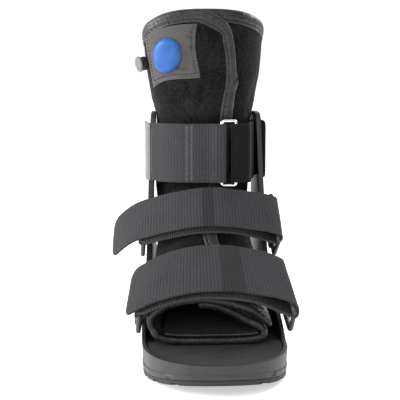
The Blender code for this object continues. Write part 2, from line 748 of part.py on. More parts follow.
def ring_bars(strap, side):
    """The middles of a ring's strap bar and lower bar, and the direction along both."""
    near, across, _, _ = ring_axis(strap, side)
    far = Vector((side * strap.bar_x, strap.bar_y, strap.bar_z))
    return near, far - across * (far - near).dot(across), across


def make_ring(strap, side, mat):
    name = "ring_" + strap.name + ("_right" if side > 0 else "_left")
    near, far, across = ring_bars(strap, side)
    length = strap.width + 2 * RING_CLEAR + 2 * RING_CORNER
    path = ring_path(near, far, across, length, RING_CORNER)
    return add_object(name, tube_loop(path, RING_BAR / 2, 8), mat)


def make_link(strap, side, mat):
    """A tab riveted to the shell's side and rolled round the ring's lower bar."""
    name = "link_" + strap.name + ("_right" if side > 0 else "_left")
    _, bar, across = ring_bars(strap, side)
    sideways = Vector((side, 0, 0))
    down = across.cross(sideways).normalized()
    down = -down if down.z > 0 else down
    out = down.cross(across).normalized()
    out = -out if out.x * side < 0 else out
    turn = RING_BAR / 2 + CLEAR + LINK_THICKNESS / 2
    foot = bar + down * LINK_REACH
    standoff = CLEAR + LINK_THICKNESS / 2 + strap.splay * LINK_WIDTH / 2 + 0.5 * MM

    def beside_wall(point):
        wall = max(half_width_at(point.y + way * LINK_WIDTH / 2) for way in (-1, 0, 1))
        bulge = max(shell_bulge(point.z + way * LINK_WIDTH / 2) for way in (-1, 0, 1))
        return Vector((side * (wall + bulge + standoff), point.y, point.z))

    points = [beside_wall(foot), beside_wall(foot - down * LINK_REACH * 0.4)]
    neck = beside_wall(foot - down * LINK_REACH * 0.62)
    points.append((neck + bar + out * turn) / 2)
    for k in range(10):
        t = math.radians(-30 + 250 * k / 9)
        points.append(bar + out * turn * math.cos(t) - down * turn * math.sin(t))
    return ribbon(name, along_path(points, across), LINK_WIDTH, LINK_THICKNESS, mat)


# The top strap, with its metal ring and its tab.


def top_strap_middle():
    """The middle of the top strap on the shin, clear of the shin over the strap's whole width."""
    half = TOP_STRAP_WIDTH / 2
    z = TOP_STRAP_LOW + half
    line = [liner_top(0.5 + k / 80) for k in range(41)]
    y = min(point.y for point in line if z - half - 3 * MM < point.z < z + half)
    return Vector((0, y, z))


def upright_faces():
    """The upright's outermost outside and innermost inside beside the top strap."""
    z = top_strap_middle().z
    heights = [z + TOP_STRAP_WIDTH / 2 * way for way in (-1, -0.5, 0, 0.5, 1)]
    front, back = upright_edges()
    outer = max(half_width_at(front - 6 * MM) + shell_bulge(h) for h in heights)
    inner = min(half_width_at(back) - wall_at(h) + shell_bulge(h) for h in heights)
    return outer, inner


def upright_front():
    """The foremost edge of the upright beside the top strap."""
    low = top_strap_middle().z - TOP_STRAP_WIDTH / 2
    y = upright_edges()[0]
    while shell_top(y) > low:
        y -= 0.5 * MM
    return y


def metal_ring_bars():
    """The two upright bars of the metal ring, left and right."""
    middle = top_strap_middle()
    y = middle.y - BINDING_RISE - LAYER_GAP - STRAP_THICKNESS - METAL_RING_WIRE / 2 - CLEAR
    half = METAL_RING_SPAN / 2
    left = Vector((METAL_RING_X - half, y, middle.z))
    right = Vector((METAL_RING_X + half, y + METAL_RING_SPAN * 0.12, middle.z))
    return left, right


def make_top_strap(mat):
    """From the left upright's outside, over the shin, round the metal ring and back to the left."""
    middle = top_strap_middle()
    z = middle.z
    half = STRAP_THICKNESS / 2
    outside = -upright_faces()[0] - CLEAR - half
    front = upright_front() - CLEAR
    bar, _ = metal_ring_bars()
    turn = METAL_RING_WIRE / 2 + CLEAR + half
    skin = middle.y - BINDING_RISE - LAYER_GAP - half
    edge_turn = 4 * MM
    points = [
        Vector((outside, SLOT_Y - 5 * MM, z)),
        Vector((outside, (SLOT_Y + front) / 2, z)),
        Vector((outside, front - 1 * MM, z)),
        Vector((outside + edge_turn * 0.35, front - edge_turn, z)),
        Vector((outside + edge_turn * 1.4, front - edge_turn * 1.7, z)),
        Vector((-LINER_WIDTH * 0.34, skin + 7.5 * MM, z)),
        Vector((-LINER_WIDTH * 0.22, skin + 1.8 * MM, z)),
        Vector((-LINER_WIDTH * 0.10, skin, z)),
        Vector((0, skin - 0.2 * MM, z)),
        Vector((bar.x - 5 * MM, bar.y + turn - 0.2 * MM, z)),
    ]
    points = smooth_path(points, 2)
    for k in range(9):
        t = math.pi * k / 8
        points.append(bar + Vector((math.sin(t) * turn, math.cos(t) * turn, 0)))
    over = STRAP_THICKNESS + LAYER_GAP
    back = [
        bar + Vector((-5 * MM, -turn + 0.2 * MM, 0)),
        Vector((0, skin - 0.2 * MM - over, z)),
        Vector((-LINER_WIDTH * 0.10, skin - over, z)),
        Vector((-LINER_WIDTH * 0.22, skin + 1.8 * MM - over, z)),
        Vector((-LINER_WIDTH * 0.34, skin + 7.5 * MM - over * 1.1, z)),
        Vector((outside + edge_turn * 1.0, front - edge_turn * 1.7 - over * 1.3, z)),
    ]
    points += smooth_path(back, 3)[0:]
    return ribbon("strap_top", along_path(points, Vector((0, 0, 1))), TOP_STRAP_WIDTH, STRAP_THICKNESS, mat)


def make_top_tab(mat):
    """The tab on the metal ring: inside the right upright, out through its slot and forwards."""
    middle = top_strap_middle()
    z = middle.z
    half = STRAP_THICKNESS / 2
    _, bar = metal_ring_bars()
    turn = METAL_RING_WIRE / 2 + CLEAR + half
    outer, inner = upright_faces()
    inside = inner - CLEAR - half
    outside = outer + CLEAR + half
    front = upright_front()
    points = [bar + Vector((9 * MM, turn + 0.9 * MM, 0)), bar + Vector((4 * MM, turn + 0.1 * MM, 0))]
    for k in range(9):
        t = math.pi * k / 8
        points.append(bar + Vector((-math.sin(t) * turn, math.cos(t) * turn, 0)))
    route = [
        bar + Vector((5 * MM, -turn + 0.5 * MM, 0)),
        bar + Vector((12 * MM, -turn + 4.0 * MM, 0)),
        Vector((inside - 4 * MM, front - 5 * MM, z)),
        Vector((inside, front + 5 * MM, z)),
        Vector((inside, SLOT_Y - 6 * MM, z)),
        Vector((inside + 0.8 * MM, SLOT_Y - 1.2 * MM, z)),
        Vector(((inner + outer) / 2, SLOT_Y, z)),
        Vector((outside - 0.8 * MM, SLOT_Y - 1.2 * MM, z)),
        Vector((outside, SLOT_Y - 6 * MM, z)),
        Vector((outside, front + 6 * MM, z)),
    ]
    points += smooth_path(route, 2)
    return ribbon("strap_top_tab", along_path(points, Vector((0, 0, 1))), TOP_STRAP_WIDTH, STRAP_THICKNESS, mat)


def make_metal_ring(mat):
    left, right = metal_ring_bars()
    length = TOP_STRAP_WIDTH + 2 * CLEAR + 2 * METAL_RING_CORNER
    path = ring_path(left, right, Vector((0, 0, 1)), length, METAL_RING_CORNER)
    return add_object("ring_top", tube_loop(path, METAL_RING_WIRE / 2, 8), mat)


# The pump and the valve.

Spot = namedtuple("Spot", "at angle")
PUMP_SPOT = Spot(0.926, -37.5)
VALVE_SPOT = Spot(0.93, -68.0)
PATCH_LOW_RIGHT = Spot(0.88, -TURN_STEP)
PATCH_LEFT_ANGLE = -5 * TURN_STEP


def make_patch(mat):
    """A sewn patch that follows the outer flap, facet for facet."""
    stations = [at for at in liner_stations() if PATCH_LOW_RIGHT.at <= at < 1 - binding_share()]
    bm = bmesh.new()
    layers = []
    for out in (CLEAR, CLEAR + PATCH_THICKNESS):
        grid = []
        for at in stations:
            angles = [a for a in liner_angles(at) if PATCH_LEFT_ANGLE - 1 < a < PATCH_LOW_RIGHT.angle + 1]
            grid.append([bm.verts.new(liner_point(at, a, out)) for a in angles])
        for one, two in zip(grid, grid[1:]):
            bridge(bm, one, two, closed=False)
        layers.append(grid)
    below, above = layers
    for k in (0, -1):
        bridge(bm, below[k], above[k], closed=False)
        bridge(bm, [row[k] for row in below], [row[k] for row in above], closed=False)
    return add_object("pump_patch", bm, mat)


def make_pump(mat):
    """A soft round bulb on the patch: a lens that follows the patch underneath."""
    centre = liner_point(*PUMP_SPOT)
    step = 0.01
    per_at = (liner_point(PUMP_SPOT.at + step, PUMP_SPOT.angle) - centre).length / step
    per_degree = (liner_point(PUMP_SPOT.at, PUMP_SPOT.angle + 1) - centre).length
    rounds, spokes = 5, 22

    def point(share, turn, out):
        at = PUMP_SPOT.at + PUMP_HEIGHT / 2 * share * math.cos(turn) / per_at
        angle = PUMP_SPOT.angle + PUMP_WIDTH / 2 * share * math.sin(turn) / per_degree
        return liner_point(at, angle, out)

    bm = bmesh.new()
    seat = CLEAR * 3 + PATCH_THICKNESS
    tops, bases = [], []
    for k in range(1, rounds + 1):
        share = math.sin(math.pi / 2 * k / rounds)
        rise = seat + PUMP_RIM + PUMP_RISE * max(1 - share**PUMP_CROWN, 0.0)
        turns = [2 * math.pi * i / spokes for i in range(spokes)]
        tops.append([bm.verts.new(point(share, turn, rise)) for turn in turns])
        bases.append([bm.verts.new(point(share, turn, seat)) for turn in turns])
    for rows, out in ((tops, seat + PUMP_RIM + PUMP_RISE), (bases, seat)):
        for one, two in zip(rows, rows[1:]):
            bridge(bm, one, two)
        hub = bm.verts.new(point(0, 0, out))
        for i in range(spokes):
            bm.faces.new((hub, rows[0][i], rows[0][(i + 1) % spokes]))
    bridge(bm, tops[-1], bases[-1])
    return add_object("pump_bulb", bm, mat)


def turned_part(name, profile, place, way, mat):
    """A turned piece: (radius, height) pairs spun about its own axis, which then points one way."""
    bm = bmesh.new()
    verts = [bm.verts.new((radius, 0, height)) for radius, height in profile]
    edges = [bm.edges.new(pair) for pair in zip(verts, verts[1:])]
    bmesh.ops.spin(
        bm, geom=verts + edges, axis=(0, 0, 1), cent=(0, 0, 0), angle=2 * math.pi, steps=16, use_merge=True
    )
    bmesh.ops.remove_doubles(bm, verts=bm.verts, dist=1e-6)
    obj = add_object(name, bm, mat)
    obj.matrix_world = Matrix.Translation(place) @ way.to_track_quat("Z", "Y").to_matrix().to_4x4()
    return obj


def valve_axis():
    """Where the valve's base stands on the liner, and which way it points."""
    way = liner_normal(*VALVE_SPOT)
    return liner_point(*VALVE_SPOT, VALVE_SEAT), way


def make_valve(body_mat, button_mat):
    place, way = valve_axis()
    radius, bore = VALVE_DIAMETER / 2, BUTTON_STEM / 2 + BORE_CLEAR
    body = [
        (0, 0), (radius, 0), (radius, VALVE_LENGTH - 0.6 * MM), (radius - 0.6 * MM, VALVE_LENGTH),
        (bore, VALVE_LENGTH), (bore, VALVE_FLOOR), (0, VALVE_FLOOR),
    ]
    turned_part("valve_body", body, place, way, body_mat)
    rest = VALVE_LENGTH + BUTTON_TRAVEL + CLEAR
    cap = BUTTON_DIAMETER / 2
    stem_end = VALVE_FLOOR + BUTTON_TRAVEL + CLEAR
    button = [
        (0, stem_end), (BUTTON_STEM / 2, stem_end), (BUTTON_STEM / 2, rest), (cap - 0.5 * MM, rest),
        (cap, rest + 0.5 * MM), (cap, rest + BUTTON_THICKNESS - 0.9 * MM),
        (cap - 0.9 * MM, rest + BUTTON_THICKNESS), (0, rest + BUTTON_THICKNESS),
    ]
    turned_part("valve_button", button, place, way, button_mat)


def main():
    for obj in list(bpy.data.objects):
        bpy.data.objects.remove(obj)
    rubber = material("tread_rubber", (0.035, 0.035, 0.038), 0.55)
    plastic = material("shell_plastic", (0.085, 0.085, 0.09), 0.5)
    foam = material("footbed_foam", (0.035, 0.035, 0.036), 0.85)
    fleece = material("liner_fabric", (0.018, 0.018, 0.02), 0.95)
    insole_cloth = material("insole_cloth", (0.02, 0.02, 0.021), 0.9)
    webbing = material("strap_webbing", (0.06, 0.06, 0.064), 0.85)
    loop_plastic = material("ring_plastic", (0.12, 0.12, 0.125), 0.45)
    steel = material("ring_steel", (0.75, 0.75, 0.76), 0.2, 1.0)
    patch_cloth = material("patch_cloth", (0.09, 0.085, 0.085), 0.9)
    blue = material("pump_rubber", (0.06, 0.2, 0.75), 0.5)
    black = material("valve_plastic", (0.015, 0.015, 0.016), 0.4)
    silver = material("valve_cap", (0.45, 0.45, 0.44), 0.35, 0.6)

    make_outsole(rubber)
    make_footbed(foam)
    make_shell(plastic)
    make_liner(fleece)
    make_insole(insole_cloth)
    for strap in FOOT_STRAPS:
        make_foot_strap(strap, webbing)
        for side in (-1, 1):
            make_ring(strap, side, loop_plastic)
            make_link(strap, side, loop_plastic)
    make_top_strap(webbing)
    make_top_tab(webbing)
    make_metal_ring(steel)
    make_patch(patch_cloth)
    make_pump(blue)
    make_valve(black, silver)


main()
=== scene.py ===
import json
import math
from bisect import bisect_right
from collections import namedtuple

import bmesh
import bpy
from mathutils import Matrix, Vector, noise

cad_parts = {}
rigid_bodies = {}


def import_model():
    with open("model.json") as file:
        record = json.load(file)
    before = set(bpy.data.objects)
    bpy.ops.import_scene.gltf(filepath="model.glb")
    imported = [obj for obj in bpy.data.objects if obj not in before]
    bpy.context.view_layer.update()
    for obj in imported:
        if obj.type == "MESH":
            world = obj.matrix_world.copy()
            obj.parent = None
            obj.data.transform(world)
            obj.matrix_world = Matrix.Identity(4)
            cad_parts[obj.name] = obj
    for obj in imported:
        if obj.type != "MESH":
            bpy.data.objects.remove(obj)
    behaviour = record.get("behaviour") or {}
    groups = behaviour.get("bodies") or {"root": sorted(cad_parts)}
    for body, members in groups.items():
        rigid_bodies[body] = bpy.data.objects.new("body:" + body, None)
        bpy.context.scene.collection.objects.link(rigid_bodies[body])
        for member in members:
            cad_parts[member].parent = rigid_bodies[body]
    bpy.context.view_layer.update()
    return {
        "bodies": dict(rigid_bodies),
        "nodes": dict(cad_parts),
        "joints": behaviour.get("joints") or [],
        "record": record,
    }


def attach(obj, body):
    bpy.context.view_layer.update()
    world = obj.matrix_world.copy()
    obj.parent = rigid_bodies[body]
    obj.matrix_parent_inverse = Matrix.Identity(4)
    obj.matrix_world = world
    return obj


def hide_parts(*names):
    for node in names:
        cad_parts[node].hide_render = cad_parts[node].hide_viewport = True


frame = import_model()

mm = 0.001
up = Vector((0, 0, 1))
scene = bpy.context.scene


# camera

camera = {
    "away": 1000 * mm,
    "height": 262 * mm,
    "aside": -7.4 * mm,
    "turn": -3.5,
    "tilt": 7.58,
    "lens": 107.1,
}


def placeCamera():
    turn, tilt = math.radians(camera["turn"]), math.radians(camera["tilt"])
    across = Vector((math.cos(turn), math.sin(turn), 0))
    ahead = Vector((-math.sin(turn), math.cos(turn), 0))
    data = bpy.data.cameras.new("viewCamera")
    data.sensor_width = 36
    data.lens = camera["lens"]
    eye = bpy.data.objects.new("viewCamera", data)
    scene.collection.objects.link(eye)
    eye.location = across * camera["aside"] - ahead * camera["away"] + up * camera["height"]
    look = ahead * math.cos(tilt) - up * math.sin(tilt)
    eye.rotation_euler = look.to_track_quat("-Z", "Y").to_euler()
    scene.camera = eye


placeCamera()


# small tools

def ease(t):
    t = min(max(t, 0.0), 1.0)
    return t * t * (3 - 2 * t)


def follow(rows, column, at):
    # one column of a table, on a smooth curve through its rows
    places = [row[0] for row in rows]
    values = [getattr(row, column) for row in rows]
    last = len(rows) - 1
    i = min(max(bisect_right(places, at) - 1, 0), last - 1)

    def slope(k):
        a, b = max(k - 1, 0), min(k + 1, last)
        return (values[b] - values[a]) / (places[b] - places[a])

    span = places[i + 1] - places[i]
    t = min(max((at - places[i]) / span, 0.0), 1.0)
    h = (2 * t**3 - 3 * t**2 + 1, t**3 - 2 * t**2 + t, 3 * t**2 - 2 * t**3, t**3 - t**2)
    return h[0] * values[i] + h[1] * span * slope(i) + h[2] * values[i + 1] + h[3] * span * slope(i + 1)


def smoothPath(points, steps):
    Row = namedtuple("Row", "at x y z")
    rows = [Row(i, *point) for i, point in enumerate(points)]
    count = (len(points) - 1) * steps
    return [Vector([follow(rows, axis, k / steps) for axis in ("x", "y", "z")]) for k in range(count + 1)]


def evenPath(points, across, gap):
    # the path and its width directions again, at even distances
    lengths = [0.0]
    for one, two in zip(points, points[1:]):
        lengths.append(lengths[-1] + (two - one).length)
    count = max(int(round(lengths[-1] / gap)), 2)
    Row = namedtuple("Row", "at x y z")
    places = [Row(s, *point) for s, point in zip(lengths, points)]
    ways = [Row(s, *way) for s, way in zip(lengths, across)]
    outPoints, outAcross, outLengths = [], [], []
    for k in range(count + 1):
        s = lengths[-1] * k / count
        outPoints.append(Vector([follow(places, axis, s) for axis in ("x", "y", "z")]))
        outAcross.append(Vector([follow(ways, axis, s) for axis in ("x", "y", "z")]).normalized())
        outLengths.append(s)
    return outPoints, outAcross, outLengths


def gridSheet(columns, rows, place, uvOf=None):
    # a sheet made as a flat grid whose points are then put in place
    bm = bmesh.new()
    uv = bm.loops.layers.uv.new("UVMap")
    bm.verts.layers.float.new("at")
    bm.verts.layers.float.new("turn")
    bmesh.ops.create_grid(bm, x_segments=columns, y_segments=rows, size=0.5, calc_uvs=True)
    spots = {}
    for vert in bm.verts:
        spots[vert] = (round((vert.co.x + 0.5) * columns), round((vert.co.y + 0.5) * rows))
    if uvOf:
        for face in bm.faces:
            for loop in face.loops:
                loop[uv].uv = uvOf(*spots[loop.vert])
    for vert, (i, j) in spots.items():
        vert.co = place(i, j)
    return bm, spots


def closeUp(bm, merge=0.00001, caps=True):
    bmesh.ops.remove_doubles(bm, verts=bm.verts, dist=merge)
    if caps:
        bmesh.ops.holes_fill(bm, edges=[edge for edge in bm.edges if edge.is_boundary], sides=0)
    bmesh.ops.recalc_face_normals(bm, faces=bm.faces)


def addPiece(name, bm, mats, body="boot", replaces=(), sharp=None):
    mesh = bpy.data.meshes.new(name)
    bm.to_mesh(mesh)
    bm.free()
    for mat in mats:
        mesh.materials.append(mat)
    mesh.shade_smooth()
    if sharp:
        mesh.set_sharp_from_angle(angle=math.radians(sharp))
    piece = bpy.data.objects.new(name, mesh)
    scene.collection.objects.link(piece)
    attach(piece, body)
    if replaces:
        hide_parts(*replaces)
    return piece


def softEdges(piece, width, segments=2, angle=40):
    bevel = piece.modifiers.new("softEdges", "BEVEL")
    bevel.width = width
    bevel.segments = segments
    bevel.limit_method = "ANGLE"
    bevel.angle_limit = math.radians(angle)


def tube(points, radius, sides=12, closed=False):
    # a round bar along points, in a bmesh
    count = len(points)
    middle = sum(points, Vector()) / count

    def wayAt(i):
        if closed:
            return (points[(i + 1) % count] - points[i - 1]).normalized()
        return (points[min(i + 1, count - 1)] - points[max(i - 1, 0)]).normalized()

    side = wayAt(0).orthogonal().normalized()
    sidesOf = []
    for i in range(count):
        way = wayAt(i)
        side = (side - way * side.dot(way)).normalized()
        sidesOf.append((side.copy(), way.cross(side)))
    if closed:
        flat = (points[0] - middle).cross(points[count // 4] - middle).normalized()
        sidesOf = [(wayAt(i).cross(flat), flat) for i in range(count)]

    def place(i, j):
        a, b = sidesOf[i % count]
        t = 2 * math.pi * (j % sides) / sides
        size = radius(i / (count - 1)) if callable(radius) else radius
        return points[i % count] + (a * math.cos(t) + b * math.sin(t)) * size

    bm, _ = gridSheet(count if closed else count - 1, sides, place)
    closeUp(bm)
    return bm


def addStitch(bm, place, along, normal, length, thick):
    # one thread showing on the cloth, half sunk into it
    along = (along - normal * along.dot(normal)).normalized()
    side = normal.cross(along)
    turn = Matrix((along, side, normal)).transposed().to_4x4()
    size = Matrix.Diagonal((length, thick, thick, 1))
    bmesh.ops.create_icosphere(bm, subdivisions=1, radius=0.5, matrix=Matrix.Translation(place) @ turn @ size)


# materials

class Recipe:
    # a material with its shader and short ways to add nodes
    def __init__(self, name, colour, rough, **sockets):
        self.mat = bpy.data.materials.new(name)
        self.mat.use_nodes = True
        self.nodes = self.mat.node_tree.nodes
        self.links = self.mat.node_tree.links
        self.shader = self.nodes["Principled BSDF"]
        self.set("Base Color", (*colour, 1))
        self.set("Roughness", rough)
        for socket, value in sockets.items():
            self.set(socket.replace("_", " "), value)

    def set(self, socket, value):
        self.shader.inputs[socket].default_value = value

    def add(self, kind, values=None, **settings):
        node = self.nodes.new("ShaderNode" + kind)
        for key, value in settings.items():
            setattr(node, key, value)
        for key, value in (values or {}).items():
            node.inputs[key].default_value = value
        return node

    def place(self, space="Object", scale=(1, 1, 1)):
        coordinates = self.add("TexCoord")
        mapping = self.add("Mapping", {"Scale": scale})
        self.links.new(coordinates.outputs[space], mapping.inputs["Vector"])
        return mapping.outputs["Vector"]

    def noise(self, where, scale, detail=2, rough=0.5, warp=0.0):
        values = {"Scale": scale, "Detail": detail, "Roughness": rough, "Distortion": warp}
        node = self.add("TexNoise", values)
        self.links.new(where, node.inputs["Vector"])
        return node.outputs["Fac"]

    def cells(self, where, scale):
        node = self.add("TexVoronoi", {"Scale": scale})
        self.links.new(where, node.inputs["Vector"])
        return node.outputs["Distance"]

    def wave(self, where, scale, axis="X", warp=0.0):
        values = {"Scale": scale, "Distortion": warp, "Detail": 1, "Detail Scale": 2}
        node = self.add("TexWave", values, bands_direction=axis)
        self.links.new(where, node.inputs["Vector"])
        return node.outputs["Fac"]

    def sum(self, a, b, kind="ADD"):
        node = self.add("Math", operation=kind)
        for slot, value in enumerate((a, b)):
            if isinstance(value, (int, float)):
                node.inputs[slot].default_value = value
            else:
                self.links.new(value, node.inputs[slot])
        return node.outputs[0]

    def weigh(self, *parts):
        # patterns added up, each with its share
        total = None
        for value, share in parts:
            part = value if share == 1 else self.sum(value, share, "MULTIPLY")
            total = part if total is None else self.sum(total, part)
        return total

    def spread(self, value, low, high, start=0.3, end=0.7):
        # turns a pattern into numbers from low to high
        node = self.add("MapRange", {"From Min": start, "From Max": end, "To Min": low, "To Max": high})
        self.links.new(value, node.inputs["Value"])
        return node.outputs["Result"]

    def tint(self, value, dark, light, start=0.3, end=0.7):
        node = self.add("ValToRGB")
        node.color_ramp.elements[0].position = start
        node.color_ramp.elements[1].position = end
        node.color_ramp.elements[0].color = (*dark, 1)
        node.color_ramp.elements[1].color = (*light, 1)
        self.links.new(value, node.inputs["Fac"])
        return node.outputs["Color"]

    def bump(self, height, distance, strength=1.0, under=None):
        node = self.add("Bump", {"Distance": distance, "Strength": strength})
        self.links.new(height, node.inputs["Height"])
        if under:
            self.links.new(under, node.inputs["Normal"])
        return node.outputs["Normal"]

    def bumps(self, *rows):
        # one bump over another, each as (pattern, distance, strength)
        normal = None
        for row in rows:
            normal = self.bump(*row, normal)
        return normal

    def finish(self, colour=None, rough=None, normal=None):
        for value, socket in ((colour, "Base Color"), (rough, "Roughness"), (normal, "Normal")):
            if value:
                self.links.new(value, self.shader.inputs[socket])
        return self.mat


def brushedFleece(name="brushedFleece", dark=(0.0035, 0.0035, 0.004), light=(0.0175, 0.0175, 0.0188)):
    cloth = Recipe(name, dark, 0.95, Sheen_Weight=0.08, Sheen_Roughness=0.45, Specular_IOR_Level=0.08)
    cloth.set("Sheen Tint", (0.75, 0.75, 0.8, 1))
    where = cloth.place()
    loops = cloth.cells(where, 900)
    tufts = cloth.noise(where, 420, 3, 0.6)
    rubbed = cloth.noise(where, 28, 3, 0.55)
    broad = cloth.noise(where, 60, 2)
    colour = cloth.tint(cloth.weigh((tufts, 0.5), (rubbed, 0.5)), dark, light, 0.41, 0.61)
    normal = cloth.bumps((loops, 0.0006, 0.35), (tufts, 0.0009, 0.45), (broad, 0.0022, 0.35))
    return cloth.finish(colour, cloth.spread(rubbed, 0.86, 0.98), normal)


def bindingVinyl():
    vinyl = Recipe("bindingVinyl", (0.02, 0.02, 0.021), 0.42, Specular_IOR_Level=0.38, Coat_Weight=0.08)
    vinyl.set("Coat Roughness", 0.35)
    where = vinyl.place()
    grain = vinyl.cells(where, 1300)
    pull = vinyl.noise(where, 130, 3, 0.6, 0.6)
    worn = vinyl.weigh((vinyl.noise(where, 55, 3), 0.5), (vinyl.noise(where, 340, 3, 0.6), 0.5))
    colour = vinyl.tint(worn, (0.004, 0.004, 0.0045), (0.036, 0.036, 0.0385), 0.36, 0.68)
    normal = vinyl.bumps((grain, 0.0002, 0.4), (pull, 0.0026, 0.6))
    return vinyl.finish(colour, vinyl.spread(pull, 0.34, 0.56), normal)


def loopWebbing(name="loopWebbing", dark=(0.006, 0.006, 0.0067), light=(0.05, 0.05, 0.0537)):
    web = Recipe(name, dark, 0.9, Sheen_Weight=0.08, Sheen_Roughness=0.5, Specular_IOR_Level=0.12)
    where = web.place("UV")
    ribs = web.wave(where, 330, "X", 0.5)
    picks = web.wave(where, 520, "Y", 0.8)
    fuzz = web.noise(where, 820, 3, 0.6)
    broad = web.noise(where, 42, 3, 0.6)
    cords = web.wave(where, 118, "X", 1.2)
    weave = web.weigh((ribs, 0.45), (picks, 0.25), (cords, 0.3))
    mixed = web.weigh((weave, 1), (fuzz, 0.9), (broad, 0.5))
    colour = web.tint(mixed, dark, light, 0.9, 1.5)
    normal = web.bumps((weave, 0.00035, 0.5), (fuzz, 0.0005, 0.35))
    return web.finish(colour, web.spread(broad, 0.8, 0.95), normal)


def hookRibs():
    hooks = Recipe("hookRibs", (0.012, 0.012, 0.013), 0.6, Specular_IOR_Level=0.3)
    where = hooks.place("UV")
    ribs = hooks.wave(where, 160, "X", 0.3)
    ends = hooks.cells(where, 700)
    colour = hooks.tint(ribs, (0.004, 0.004, 0.0045), (0.02, 0.02, 0.0215), 0.2, 0.8)
    normal = hooks.bumps((ribs, 0.0009, 0.7), (ends, 0.0004, 0.5))
    return hooks.finish(colour, hooks.spread(ends, 0.5, 0.75, 0.1, 0.6), normal)


def mouldedPlastic(name="mouldedPlastic", dark=(0.026, 0.026, 0.027), light=(0.038, 0.038, 0.04), rough=0.42):
    plastic = Recipe(name, dark, rough, Specular_IOR_Level=0.4)
    where = plastic.place()
    flow = plastic.noise(plastic.place(scale=(1, 1, 0.35)), 36, 3, 0.5, 0.4)
    spark = plastic.noise(where, 1700, 2, 0.6)
    colour = plastic.tint(flow, dark, light)
    normal = plastic.bumps((spark, 0.00012, 0.5), (plastic.noise(where, 45, 2), 0.0006, 0.15))
    return plastic.finish(colour, plastic.spread(flow, rough - 0.05, rough + 0.09), normal)


def treadRubber():
    rubber = Recipe("treadRubber", (0.02, 0.02, 0.021), 0.62)
    where = rubber.place()
    dust = rubber.noise(where, 70, 4, 0.6)
    pores = rubber.noise(where, 1400, 2)
    colour = rubber.tint(dust, (0.008, 0.008, 0.0085), (0.022, 0.022, 0.023))
    normal = rubber.bump(pores, 0.0002, 0.5)
    return rubber.finish(colour, rubber.spread(dust, 0.5, 0.75), normal)


def footbedFoam():
    foam = Recipe("footbedFoam", (0.02, 0.02, 0.02), 0.92, Specular_IOR_Level=0.25)
    where = foam.place()
    pores = foam.cells(where, 1100)
    mottle = foam.noise(where, 75, 4, 0.65, 0.3)
    colour = foam.tint(mottle, (0.022, 0.022, 0.023), (0.034, 0.034, 0.036))
    normal = foam.bumps((pores, 0.0005, 0.5), (mottle, 0.001, 0.25))
    return foam.finish(colour, foam.spread(mottle, 0.85, 0.97), normal)


def patchWeave():
    weave = Recipe("patchWeave", (0.09, 0.085, 0.08), 0.85, Specular_IOR_Level=0.25, Sheen_Weight=0.15)
    where = weave.place("UV")
    warpYarn = weave.wave(where, 560, "X", 0.3)
    weftYarn = weave.wave(where, 560, "Y", 0.3)
    yarns = weave.sum(warpYarn, weftYarn, "MULTIPLY")
    slub = weave.noise(where, 300, 3, 0.6)
    broad = weave.noise(where, 60, 3)
    mixed = weave.weigh((yarns, 0.5), (slub, 1), (broad, 1))
    colour = weave.tint(mixed, (0.015, 0.0143, 0.0143), (0.08, 0.075, 0.075), 0.7, 1.5)
    normal = weave.bump(yarns, 0.0003, 0.6)
    return weave.finish(colour, weave.spread(broad, 0.78, 0.92), normal)


def pumpRubber():
    rubber = Recipe("pumpRubber", (0.02, 0.08, 0.3), 0.42, Specular_IOR_Level=0.28, Coat_Weight=0.04)
    rubber.set("Coat Roughness", 0.3)
    where = rubber.place()
    mottle = rubber.noise(where, 160, 3, 0.6)
    fine = rubber.noise(where, 1500, 2)
    colour = rubber.tint(mottle, (0.013, 0.078, 0.29), (0.021, 0.106, 0.37))
    normal = rubber.bump(fine, 0.0002, 0.4)
    return rubber.finish(colour, rubber.spread(mottle, 0.36, 0.5), normal)


def platedWire():
    steel = Recipe("platedWire", (0.8, 0.8, 0.8), 0.12, Metallic=1.0)
    where = steel.place()
    scratches = steel.noise(steel.place(scale=(1, 1, 0.1)), 900, 2)
    colour = steel.tint(steel.noise(where, 90, 2), (0.72, 0.72, 0.71), (0.88, 0.88, 0.87))
    return steel.finish(colour, steel.spread(scratches, 0.08, 0.22), steel.bump(scratches, 0.00004, 0.4))


def sewingThread(name, colour):
    thread = Recipe(name, colour, 0.75, Sheen_Weight=0.1)
    where = thread.place()
    twist = thread.noise(where, 2600, 2)
    tone = thread.tint(twist, tuple(c * 0.7 for c in colour), tuple(c * 1.25 for c in colour))
    return thread.finish(tone, thread.spread(twist, 0.65, 0.85), thread.bump(twist, 0.0001, 0.6))


fleece = brushedFleece()
lining = brushedFleece("liningLoop", (0.0012, 0.0012, 0.0014), (0.0045, 0.0045, 0.005))
vinyl = bindingVinyl()
webbing = loopWebbing()
# painted highlight: a much lighter copy of the webbing, put on the top strap's outer end on the left to stand
# in for strong light from the left side
paintedLightWebbing = loopWebbing("paintedLightWebbing", (0.05, 0.05, 0.052), (0.24, 0.24, 0.25))
# painted shade: a darker copy of the webbing, put over the foot straps' crest to stand in for the shade of a
# fold
paintedShadeWebbing = loopWebbing("paintedShadeWebbing", (0.006, 0.006, 0.0068), (0.033, 0.033, 0.0355))
darkWebbing = loopWebbing("darkWebbing", (0.002, 0.002, 0.0022), (0.008, 0.008, 0.0085))
hooks = hookRibs()
shellPlastic = mouldedPlastic()
ringPlastic = mouldedPlastic("ringPlastic", (0.034, 0.034, 0.036), (0.055, 0.055, 0.058), 0.32)
blackPlastic = mouldedPlastic("blackPlastic", (0.008, 0.008, 0.0085), (0.016, 0.016, 0.017), 0.38)
capPlastic = mouldedPlastic("capPlastic", (0.1, 0.1, 0.097), (0.17, 0.17, 0.165), 0.3)
rubber = treadRubber()
foam = footbedFoam()
patchCloth = patchWeave()
blueRubber = pumpRubber()
steel = platedWire()
greyThread = sewingThread("greyThread", (0.12, 0.12, 0.124))
blackThread = sewingThread("blackThread", (0.0025, 0.0025, 0.0028))
print("materials mixed")


# sole: outline, rocker and rim

